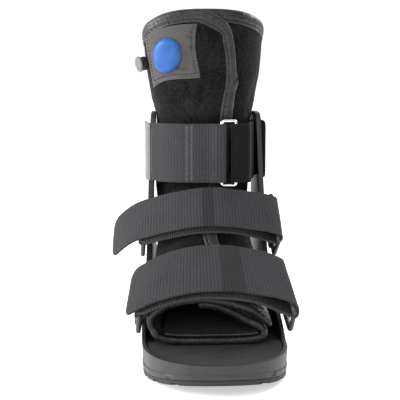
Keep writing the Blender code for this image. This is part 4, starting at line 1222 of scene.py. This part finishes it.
def strapPath(strap):
    # sewn round the left ring, over the foot, round the right ring and back to the free tail
    turn = ring["bar"] / 2 + webStrap["barClear"] + webStrap["thick"] / 2
    leftBar, leftAcross, leftOut, leftOver = ringAxis(strap, -1)
    rightBar, rightAcross, rightOut, rightOver = ringAxis(strap, 1)
    points, across = [], []

    def add(point, way):
        points.append(point)
        across.append(way)

    def turnRound(bar, over, out, way):
        for k in range(9):
            t = math.pi * k / 8
            add(bar - over * turn * math.cos(t) + out * turn * math.sin(t), way)

    def cross(us, layer, left, right):
        # over the foot, with both ends drawn to where the bars need them
        for u in us:
            shift = right - strapPlace(strap, 1, layer) if u > 0 else left - strapPlace(strap, -1, layer)
            shift *= ease((abs(u) - 0.5) / 0.38)
            add(strapPlace(strap, u, layer) + shift, strapAcross(strap, u))

    stub, steps = 6 * mm, 16
    add(leftBar - leftOver * (turn + 0.5 * mm) - leftOut * stub, leftAcross)
    add(leftBar - leftOver * turn - leftOut * stub / 2, leftAcross)
    turnRound(leftBar, leftOver, leftOut, leftAcross)
    us = [0.9 * (2 * k / steps - 1) for k in range(steps + 1)]
    cross(us, 0, leftBar + leftOver * turn, rightBar - rightOver * turn)
    turnStart = len(points)
    turnRound(rightBar, rightOver, rightOut, rightAcross)
    turnEnd = len(points)
    us = [0.9 - 1.9 * k / steps for k in range(steps + 1)]
    second = turn + webStrap["thick"] + webStrap["layerGap"]
    cross(us, 1, leftBar + leftOver * second, rightBar + rightOver * turn)
    start, out = points[-1], (points[-1] - points[-2]).normalized()
    for k in range(1, 5):
        t = k / 4
        fall = Vector((0, 0, -strap["tailDrop"] * t * 0.5))
        add(start + (out + fall) * strap["tail"] * t, strapAcross(strap, -1))
    return points, across, turnStart, turnEnd


bandProfile = [
    (-1.0, 0.0), (-0.996, 0.6), (-0.985, 0.95), (-0.955, 1.05), (-0.925, 1.02), (-0.905, 0.9), (-0.88, 0.95),
    (-0.7, 0.95), (-0.45, 1.0), (-0.2, 1.0), (0.0, 1.0), (0.2, 1.0), (0.45, 1.0), (0.7, 0.95), (0.88, 0.9),
    (0.905, 0.9), (0.925, 1.02), (0.955, 1.05), (0.985, 0.95), (0.996, 0.6), (1.0, 0.0), (0.99, -0.7),
    (0.95, -1.0), (0.5, -0.95), (0.0, -0.95), (-0.5, -0.95), (-0.95, -1.0), (-0.99, -0.7),
]


def makeBand(points, across, width, thick, matOf=None, edgesOf=None, gap=1.6 * mm, ripple=0.0, seed=0.0):
    # a strap with raised bound edges, along a path; edgesOf(s) moves its two edges in or out
    points, across, lengths = evenPath(points, across, gap)
    total = lengths[-1]
    count, ringCount = len(points), len(bandProfile)
    frames = []
    for i, point in enumerate(points):
        way = (points[min(i + 1, count - 1)] - points[max(i - 1, 0)]).normalized()
        frames.append((point, way.cross(across[i]).normalized(), across[i]))

    def place(i, j):
        point, normal, side = frames[i]
        x, h = bandProfile[j % ringCount]
        lowIn, highIn = edgesOf(lengths[i], total) if edgesOf else (0.0, 0.0)
        middle, half = (lowIn - highIn) / 2, width / 2 - (lowIn + highIn) / 2
        soft = noise.noise(Vector((lengths[i] * 45 + seed, x * 1.3, seed))) * ripple
        return point + side * (middle + half * x) + normal * (h * thick / 2 + soft)

    def uvOf(i, j):
        return lengths[i], bandProfile[j % ringCount][0] * width / 2

    bm, spots = gridSheet(count - 1, ringCount, place, uvOf)
    if matOf:
        for face in bm.faces:
            i, j = (min(spots[vert][k] for vert in face.verts) for k in range(2))
            middle = (bandProfile[j % ringCount][0] + bandProfile[(j + 1) % ringCount][0]) / 2
            face.material_index = matOf(lengths[i] / total, middle, points[i].x)
    closeUp(bm)
    return bm, frames, lengths


def roundedEnd(radius, atEnd=True, atStart=False):
    # pulls a strap's corners in at its free end
    def edges(s, total):
        pulled = 0.0
        for on, away in ((atEnd, total - s), (atStart, s)):
            if on and away < radius:
                pulled += radius - math.sqrt(max(radius**2 - (radius - away) ** 2, 0.0))
        return pulled, pulled
    return edges


def makeFootStrap(strap):
    points, across, turnStart, turnEnd = strapPath(strap)
    runs = [0.0]
    for one, two in zip(points, points[1:]):
        runs.append(runs[-1] + (two - one).length)
    split = (runs[turnStart] * 0.35 + runs[turnEnd] * 0.65) / runs[-1]
    shapeEnd = roundedEnd(7 * mm)

    def edges(s, total):
        low, high = shapeEnd(s, total)
        under = ease((split * total - s) / (12 * mm)) * ease((s - 14 * mm) / (10 * mm))
        wide = strap["underFront"] + strap["underRight"] * ease(s / total * 3 - 0.6)
        return low, high - wide * under

    def matOf(share, x, where):
        if share < split - 0.02:
            return 0 if abs(x) > 0.92 else 1
        # over the crest the outer layer takes the darker webbing: painted shade
        start, end = strap["crest"]
        return 2 if start < where < end else 0

    size = strap["width"], webStrap["thick"]
    bm, _, _ = makeBand(points, across, *size, matOf, edges, ripple=0.3 * mm, seed=strap["at"] * 9)
    mats = [webbing, hooks, paintedShadeWebbing]
    name = strap["name"]
    addPiece("strap" + name.capitalize(), bm, mats, replaces=["strap_" + name])
    for side, sideName in ((-1, "Left"), (1, "Right")):
        makeRing(strap, side, sideName)
        makeLink(strap, side, sideName)


def ringPath(near, far, across, length, corner, steps=8):
    down = (far - near).normalized()
    height = (far - near).length
    centre = (near + far) / 2
    points = []
    for sideW, sideD, start in ((1, -1, 0), (1, 1, 90), (-1, 1, 180), (-1, -1, 270)):
        hub = centre + across * sideW * (length / 2 - corner) + down * sideD * (height / 2 - corner)
        for k in range(steps + 1):
            t = math.radians(start + 90 * k / steps)
            points.append(hub + (across * math.sin(t) - down * math.cos(t)) * corner)
    return points


def ringBars(strap, side):
    near, across, _, _ = ringAxis(strap, side)
    x, y, z = strap["bar"]
    far = Vector((side * x, y, z))
    return near, far - across * (far - near).dot(across), across


def addSidePiece(kind, strap, sideName, bm):
    name = strap["name"].capitalize() + sideName
    replaced = kind + "_" + strap["name"] + "_" + sideName.lower()
    addPiece(kind + name, bm, [ringPlastic], replaces=[replaced])
    return name


def makeRing(strap, side, sideName):
    near, far, across = ringBars(strap, side)
    length = strap["width"] + 2 * ring["clear"] + 2 * ring["corner"]
    bm = tube(ringPath(near, far, across, length, ring["corner"]), ring["bar"] / 2, 14, True)
    addSidePiece("ring", strap, sideName, bm)


def makeLink(strap, side, sideName):
    # a plastic tab on the shell's side, rolled round the ring's lower bar and riveted down
    _, bar, across = ringBars(strap, side)
    down = across.cross(Vector((side, 0, 0))).normalized()
    down = -down if down.z > 0 else down
    out = down.cross(across).normalized()
    out = -out if out.x * side < 0 else out
    turn = ring["bar"] / 2 + sole["clear"] + link["thick"] / 2
    foot = bar + down * link["reach"]
    standoff = sole["clear"] + link["thick"] / 2 + strap["splay"] * link["width"] / 2 + 0.5 * mm

    def besideWall(point):
        wall = max(halfWidthAt(point.y + way * link["width"] / 2) for way in (-1, 0, 1))
        bulge = max(shellBulge(point.z + way * link["width"] / 2) for way in (-1, 0, 1))
        return Vector((side * (wall + bulge + standoff), point.y, point.z))

    points = [besideWall(foot), besideWall(foot - down * link["reach"] * 0.4)]
    neck = besideWall(foot - down * link["reach"] * 0.62)
    points.append((neck + bar + out * turn) / 2)
    for k in range(10):
        t = math.radians(-30 + 250 * k / 9)
        points.append(bar + out * turn * math.cos(t) - down * turn * math.sin(t))
    size, ways = (link["width"], link["thick"]), [across] * len(points)
    bm, frames, _ = makeBand(points, ways, *size, None, roundedEnd(6 * mm, False, True), gap=1.0 * mm)
    name = addSidePiece("link", strap, sideName, bm)
    spot, normal, _ = frames[5]
    if normal.x * side < 0:
        normal = -normal
    head = [(0, 1.5), (1.2, 1.45), (2.3, 1.15), (2.9, 0.7), (3.1, 0.2), (3.1, 0)]
    rivet = spin(head, spot + normal * link["thick"] / 2, normal, 20)
    addPiece("rivet" + name, rivet, [steel])


def spin(profile, place, way, steps=32):
    # a turned piece from (radius, height) in mm, standing at a place and pointing one way
    bm = bmesh.new()
    verts = [bm.verts.new((radius * mm, 0, height * mm)) for radius, height in profile]
    edges = [bm.edges.new(pair) for pair in zip(verts, verts[1:])]
    turn = {"axis": (0, 0, 1), "cent": (0, 0, 0), "angle": 2 * math.pi}
    bmesh.ops.spin(bm, geom=verts + edges, steps=steps, use_merge=True, **turn)
    closeUp(bm)
    bm.transform(Matrix.Translation(place) @ way.to_track_quat("Z", "Y").to_matrix().to_4x4())
    return bm


def topStrapMiddle():
    z = topStrapZ()
    half = topStrap["width"] / 2
    line = [linerTop(0.5 + k / 80) for k in range(41)]
    y = min(point.y for point in line if z - half - 3 * mm < point.z < z + half)
    return Vector((0, y, z))


def uprightFaces():
    z = topStrapMiddle().z
    heights = [z + topStrap["width"] / 2 * way for way in (-1, -0.5, 0, 0.5, 1)]
    outer = max(halfWidthAt(uprightFront - 6 * mm) + shellBulge(h) for h in heights)
    inner = min(halfWidthAt(uprightBack) - shell["uprightWall"] + shellBulge(h) for h in heights)
    return outer, inner


def uprightEdge():
    low = topStrapMiddle().z - topStrap["width"] / 2
    y = uprightFront
    while shellTop(y) > low:
        y -= 0.5 * mm
    return y


def metalBars():
    middle = topStrapMiddle()
    y = middle.y - liner["bindingRise"] - topStrap["layerGap"] - topStrap["thick"]
    y += -metalRing["wire"] / 2 - sole["clear"]
    half = metalRing["span"] / 2
    left = Vector((metalRing["x"] - half, y, middle.z))
    right = Vector((metalRing["x"] + half, y + metalRing["span"] * 0.12, middle.z))
    return left, right


def halfTurn(bar, turn, way):
    # round a bar of the metal ring, from behind it to its front
    arc = [math.pi * k / 8 for k in range(9)]
    return [bar + Vector((way * math.sin(t) * turn, math.cos(t) * turn, 0)) for t in arc]


seam = {"x": -15.5 * mm, "long": 3.3 * mm, "count": 31, "columns": (-2.1 * mm, 1.7 * mm), "thread": 0.8 * mm}

def makeTopStrap():
    middle = topStrapMiddle()
    z, half = middle.z, topStrap["thick"] / 2
    outside = -uprightFaces()[0] - sole["clear"] - half
    front = uprightEdge() - sole["clear"]
    bar, _ = metalBars()
    turn = metalRing["wire"] / 2 + sole["clear"] + half
    skin = middle.y - liner["bindingRise"] - topStrap["layerGap"] - half
    edgeTurn, wide = 4 * mm, liner["width"]
    points = [
        Vector((outside, shell["slotY"] - 5 * mm, z)),
        Vector((outside, (shell["slotY"] + front) / 2, z)),
        Vector((outside, front - 1 * mm, z)),
        Vector((outside + edgeTurn * 0.35, front - edgeTurn, z)),
        Vector((outside + edgeTurn * 1.4, front - edgeTurn * 1.7, z)),
        Vector((-wide * 0.34, skin + 7.5 * mm, z)),
        Vector((-wide * 0.22, skin + 1.8 * mm, z)),
        Vector((-wide * 0.10, skin, z)),
        Vector((0, skin - 0.2 * mm, z)),
        Vector((bar.x - 5 * mm, bar.y + turn - 0.2 * mm, z)),
    ]
    points = smoothPath(points, 4) + halfTurn(bar, turn, 1)
    over = topStrap["thick"] + topStrap["layerGap"]
    back = [
        bar + Vector((-5 * mm, -turn + 0.2 * mm, 0)),
        Vector((0, skin - 0.2 * mm - over, z)),
        Vector((-wide * 0.10, skin - over, z)),
        Vector((-wide * 0.22, skin + 1.8 * mm - over, z)),
        Vector((-wide * 0.34, skin + 7.5 * mm - over * 1.1, z)),
        Vector((outside + edgeTurn * 1.0, front - edgeTurn * 1.7 - over * 1.3, z)),
    ]
    points += smoothPath(back, 5)

    # the strap's outer end on the left takes the lighter webbing: painted light from the left side
    def paintedLightEnd(share, x, where):
        return 1 if share < 0.3 and where < outside + 2.4 * mm else 0

    size, ends = (topStrap["width"], topStrap["thick"]), roundedEnd(7 * mm, True, True)
    ways = [up] * len(points)
    finish = {"gap": 1.4 * mm, "ripple": 0.15 * mm, "seed": 4.0}
    bm, frames, lengths = makeBand(points, ways, *size, paintedLightEnd, ends, **finish)
    addPiece("strapTop", bm, [webbing, paintedLightWebbing], replaces=["strap_top"])
    # the light seam across the strap, in two columns of short threads
    outer = [f for f, s in zip(frames, lengths) if s > lengths[-1] * 0.62]
    spot = min(outer, key=lambda f: abs(f[0].x - seam["x"]))
    point, normal, side = spot
    if normal.y > 0:
        normal = -normal
    threads = bmesh.new()
    along = side.cross(normal)
    for k in range(seam["count"]):
        for column, aside in enumerate(seam["columns"]):
            high = (k + 0.3 + column * 0.5) / seam["count"] - 0.5
            tilt = 0.25 * noise.noise(Vector((k * 1.7, column * 5.0, 0)))
            place = point + side * high * (topStrap["width"] - 3 * mm) + along * aside
            place += normal * (half * 1.02)
            addStitch(threads, place, along + side * tilt, normal, seam["long"], seam["thread"])
    addPiece("zigzagSeam", threads, [greyThread])


def makeTopTab():
    middle = topStrapMiddle()
    z, half = middle.z, topStrap["thick"] / 2
    _, bar = metalBars()
    turn = metalRing["wire"] / 2 + sole["clear"] + half
    outer, inner = uprightFaces()
    inside, outside = inner - sole["clear"] - half, outer + sole["clear"] + half
    front, slotY = uprightEdge(), shell["slotY"]
    points = [bar + Vector((9 * mm, turn + 0.9 * mm, 0)), bar + Vector((4 * mm, turn + 0.1 * mm, 0))]
    points += halfTurn(bar, turn, -1)
    route = [
        bar + Vector((5 * mm, -turn + 0.5 * mm, 0)),
        bar + Vector((12 * mm, -turn + 4.0 * mm, 0)),
        Vector((inside - 4 * mm, front - 5 * mm, z)),
        Vector((inside, front + 5 * mm, z)),
        Vector((inside, slotY - 6 * mm, z)),
        Vector((inside + 0.8 * mm, slotY - 1.2 * mm, z)),
        Vector(((inner + outer) / 2, slotY, z)),
        Vector((outside - 0.8 * mm, slotY - 1.2 * mm, z)),
        Vector((outside, slotY - 6 * mm, z)),
        Vector((outside, front + 6 * mm, z)),
    ]
    points += smoothPath(route, 4)
    size, ways = (topStrap["width"], topStrap["thick"]), [up] * len(points)
    bm, _, _ = makeBand(points, ways, *size, None, roundedEnd(6 * mm, True, False), gap=1.2 * mm)
    addPiece("strapTopTab", bm, [darkWebbing], replaces=["strap_top_tab"])


def makeMetalRing():
    left, right = metalBars()
    length = topStrap["width"] + 2 * sole["clear"] + 2 * metalRing["corner"]
    bm = tube(ringPath(left, right, up, length, metalRing["corner"], 10), metalRing["wire"] / 2, 16, True)
    addPiece("ringTop", bm, [steel], replaces=["ring_top"])


# patch, pump and valve

patch = {
    "low": 0.878, "top": 0.975, "leftAngle": -60.0, "rightAngle": -11.0, "thick": 1.0 * mm, "lift": 0.3 * mm,
    "stitchIn": 3.4, "pitch": 2.8 * mm, "stitch": 2.0 * mm, "thread": 0.8 * mm,
}
pump = {"at": 0.926, "angle": -37.5, "diameter": 30 * mm, "across": 0.8, "rise": 2.8 * mm, "rim": 0.8 * mm}
valve = {
    "at": 0.93,
    "angle": -68.0,
    "seat": 1.1 * mm,
    "length": 3.6,
    "bore": 2.9,
    "floor": 1.2,
    "travel": 1.2,
}


def makePatch():
    rows, columns = 30, 46

    def spotOf(i, j):
        across, high = i / columns, j / rows
        low = patch["low"] + 0.004 * math.sin(across * 5.1) - 0.006 * (1 - across)
        at = low + (patch["top"] - low) * high
        right = patch["rightAngle"] + 1.6 * math.cos(high * 5.0) + 2.2 * (1 - high)
        return at, patch["leftAngle"] + (right - patch["leftAngle"]) * across

    def place(i, j):
        at, angle = spotOf(i, j)
        hem = min(i, columns - i) * 1.1 * mm
        fall = 0.35 * mm * (1 - ease(min(hem, j * 1.2 * mm) / (1.4 * mm)))
        return linerSpot(at, angle, patch["lift"] + patch["thick"] - fall)

    bm, _ = gridSheet(columns, rows, place, lambda i, j: (i * 0.0011, j * 0.0012))
    grown = bmesh.ops.extrude_face_region(bm, geom=bm.faces[:])
    for item in grown["geom"]:
        if isinstance(item, bmesh.types.BMVert):
            item.co -= item.normal * (patch["thick"] - 0.1 * mm)
    bmesh.ops.recalc_face_normals(bm, faces=bm.faces)
    addPiece("pumpPatch", bm, [patchCloth], replaces=["pump_patch"], sharp=60)

    inset = patch["stitchIn"]
    corners = [(inset, rows), (inset, inset), (columns - inset, inset), (columns - inset, rows)]
    threads = bmesh.new()
    for (i0, j0), (i1, j1) in zip(corners, corners[1:]):
        ends = [linerSpot(*spotOf(i, j), patch["lift"] + patch["thick"]) for i, j in ((i0, j0), (i1, j1))]
        count = round((ends[1] - ends[0]).length / patch["pitch"])
        for k in range(count):
            i, j = (i0 + (i1 - i0) * (k + 0.5) / count, j0 + (j1 - j0) * (k + 0.5) / count)
            spot = spotOf(i, j)
            place3 = linerSpot(*spot, patch["lift"] + patch["thick"] + 0.15 * mm)
            way, normal = ends[1] - ends[0], linerNormal(*spot)
            addStitch(threads, place3, way, normal, patch["stitch"], patch["thread"])
    addPiece("patchStitches", threads, [blackThread])


def makePump():
    radius = pump["diameter"] / 2
    byAt, byTurn = perAt(pump["at"], pump["angle"]), perTurn(pump["at"], pump["angle"])
    seat = patch["lift"] + patch["thick"] + 0.3 * mm
    shape = [
        (0, 1.0), (0.25, 1.0), (0.5, 0.98), (0.7, 0.92), (0.82, 0.8), (0.9, 0.62), (0.95, 0.42), (0.985, 0.3),
        (1.0, 0.18), (1.0, 0.0), (0.9, -0.02), (0.5, -0.02), (0, -0.02),
    ]
    spokes = 64

    def place(i, j):
        share, level = shape[j]
        turn = 2 * math.pi * (i % spokes) / spokes
        at = pump["at"] + radius * share * math.cos(turn) / byAt
        angle = pump["angle"] + radius * pump["across"] * share * math.sin(turn) / byTurn
        return linerSpot(at, angle, seat + (pump["rise"] + pump["rim"]) * level)

    bm, _ = gridSheet(spokes, len(shape) - 1, place)
    closeUp(bm, 0.01 * mm)
    piece = addPiece("pumpBulb", bm, [blueRubber], replaces=["pump_bulb"])
    smooth = piece.modifiers.new("smooth", "SUBSURF")
    smooth.levels = smooth.render_levels = 1


def makeValve():
    way = linerNormal(valve["at"], valve["angle"])
    place = linerBase(valve["at"], valve["angle"]) + way * (lapRise(valve["angle"]) + valve["seat"])
    long, bore, floor = valve["length"], valve["bore"], valve["floor"]
    body = [
        (0, 0), (5.6, 0), (6.0, 0.3), (6.0, 1.0), (5.6, 1.2), (5.6, 1.6), (6.0, 1.8), (6.0, long - 0.6),
        (5.4, long), (bore, long), (bore, floor), (0, floor),
    ]
    bm = spin(body, place, way, 40)
    addPiece("valveBody", bm, [blackPlastic], replaces=["valve_body"], sharp=35)
    rest = long + valve["travel"] + 0.3
    stem = floor + valve["travel"] + 0.3
    dish = [
        (6.2, 0), (6.75, 0.4), (6.75, 1.4), (6.3, 2.0), (5.7, 2.2), (5.0, 2.1), (4.6, 1.8), (3.0, 1.6),
        (0, 1.55),
    ]
    cap = [(0, stem), (2.5, stem), (2.5, rest)] + [(radius, rest + high) for radius, high in dish]
    bm = spin(cap, place, way, 48)
    addPiece("valveButton", bm, [capPlastic], body="button", replaces=["valve_button"], sharp=35)


# floor and light

light = {
    "backdrop": 1.06,
    "front": 0.93,
    "beside": 0.3,
    "key": {"energy": 22, "size": 0.9, "place": (-1.35, 0.05, 0.5)},
    "fill": {"energy": 5, "size": 1.2, "place": (-0.3, -1.3, 0.9)},
    "rim": {"energy": 9, "size": 0.7, "place": (0.9, 0.7, 0.8)},
    "floor": (0.93, 0.93, 0.93),
    "glow": 0.5,
}


def makeStage():
    scene.view_settings.view_transform = "Standard"
    world = scene.world or bpy.data.worlds.new("studio")
    scene.world = world
    world.use_nodes = True
    # the room is white behind the boot, a little less in front, and falls off to the right
    nodes, links = world.node_tree.nodes, world.node_tree.links
    sky = nodes["Background"]
    sky.inputs["Color"].default_value = (1, 1, 1, 1)
    around = nodes.new("ShaderNodeTexCoord")
    parts = nodes.new("ShaderNodeSeparateXYZ")
    links.new(around.outputs["Generated"], parts.inputs["Vector"])
    larger = nodes.new("ShaderNodeMath")
    larger.operation = "MAXIMUM"
    rows = (("X", 0.25, 0.7, light["front"], light["beside"]), ("Y", 0.5, 0.75, 0.0, light["backdrop"]))
    for slot, (axis, *values) in enumerate(rows):
        fall = nodes.new("ShaderNodeMapRange")
        for socket, value in zip(("From Min", "From Max", "To Min", "To Max"), values):
            fall.inputs[socket].default_value = value
        links.new(parts.outputs[axis], fall.inputs["Value"])
        links.new(fall.outputs["Result"], larger.inputs[slot])
    links.new(larger.outputs["Value"], sky.inputs["Strength"])
    for name in ("key", "fill", "rim"):
        lamp = light[name]
        data = bpy.data.lights.new(name + "Light", "AREA")
        data.energy = lamp["energy"]
        data.size = lamp["size"]
        data.shape = "DISK"
        obj = bpy.data.objects.new(name + "Light", data)
        scene.collection.objects.link(obj)
        obj.location = lamp["place"]
        aim = Vector((0, 0, 0.14)) - obj.location
        obj.rotation_euler = aim.to_track_quat("-Z", "Y").to_euler()
    paper = Recipe("paperFloor", light["floor"], 0.9, Emission_Strength=light["glow"])
    paper.set("Emission Color", (1, 1, 1, 1))
    where = paper.place()
    paper.finish(paper.tint(paper.noise(where, 3, 2), (0.91, 0.91, 0.91), (0.94, 0.94, 0.94)))
    bm = bmesh.new()
    bmesh.ops.create_grid(bm, x_segments=1, y_segments=1, size=6)
    mesh = bpy.data.meshes.new("studioFloor")
    bm.to_mesh(mesh)
    bm.free()
    mesh.materials.append(paper.mat)
    floor = bpy.data.objects.new("studioFloor", mesh)
    floor.location.z = -0.0005
    scene.collection.objects.link(floor)


makeOutsole()
makeFootbed()
makeShell()
print("sole and shell made")
makeLinerWall()
makeBinding()
makePanelSeam()
makeInsole()
print("liner made")
for strap in footStraps:
    makeFootStrap(strap)
makeTopStrap()
makeTopTab()
makeMetalRing()
print("straps made")
makePatch()
makePump()
makeValve()
print("patch, pump and valve made")
makeStage()
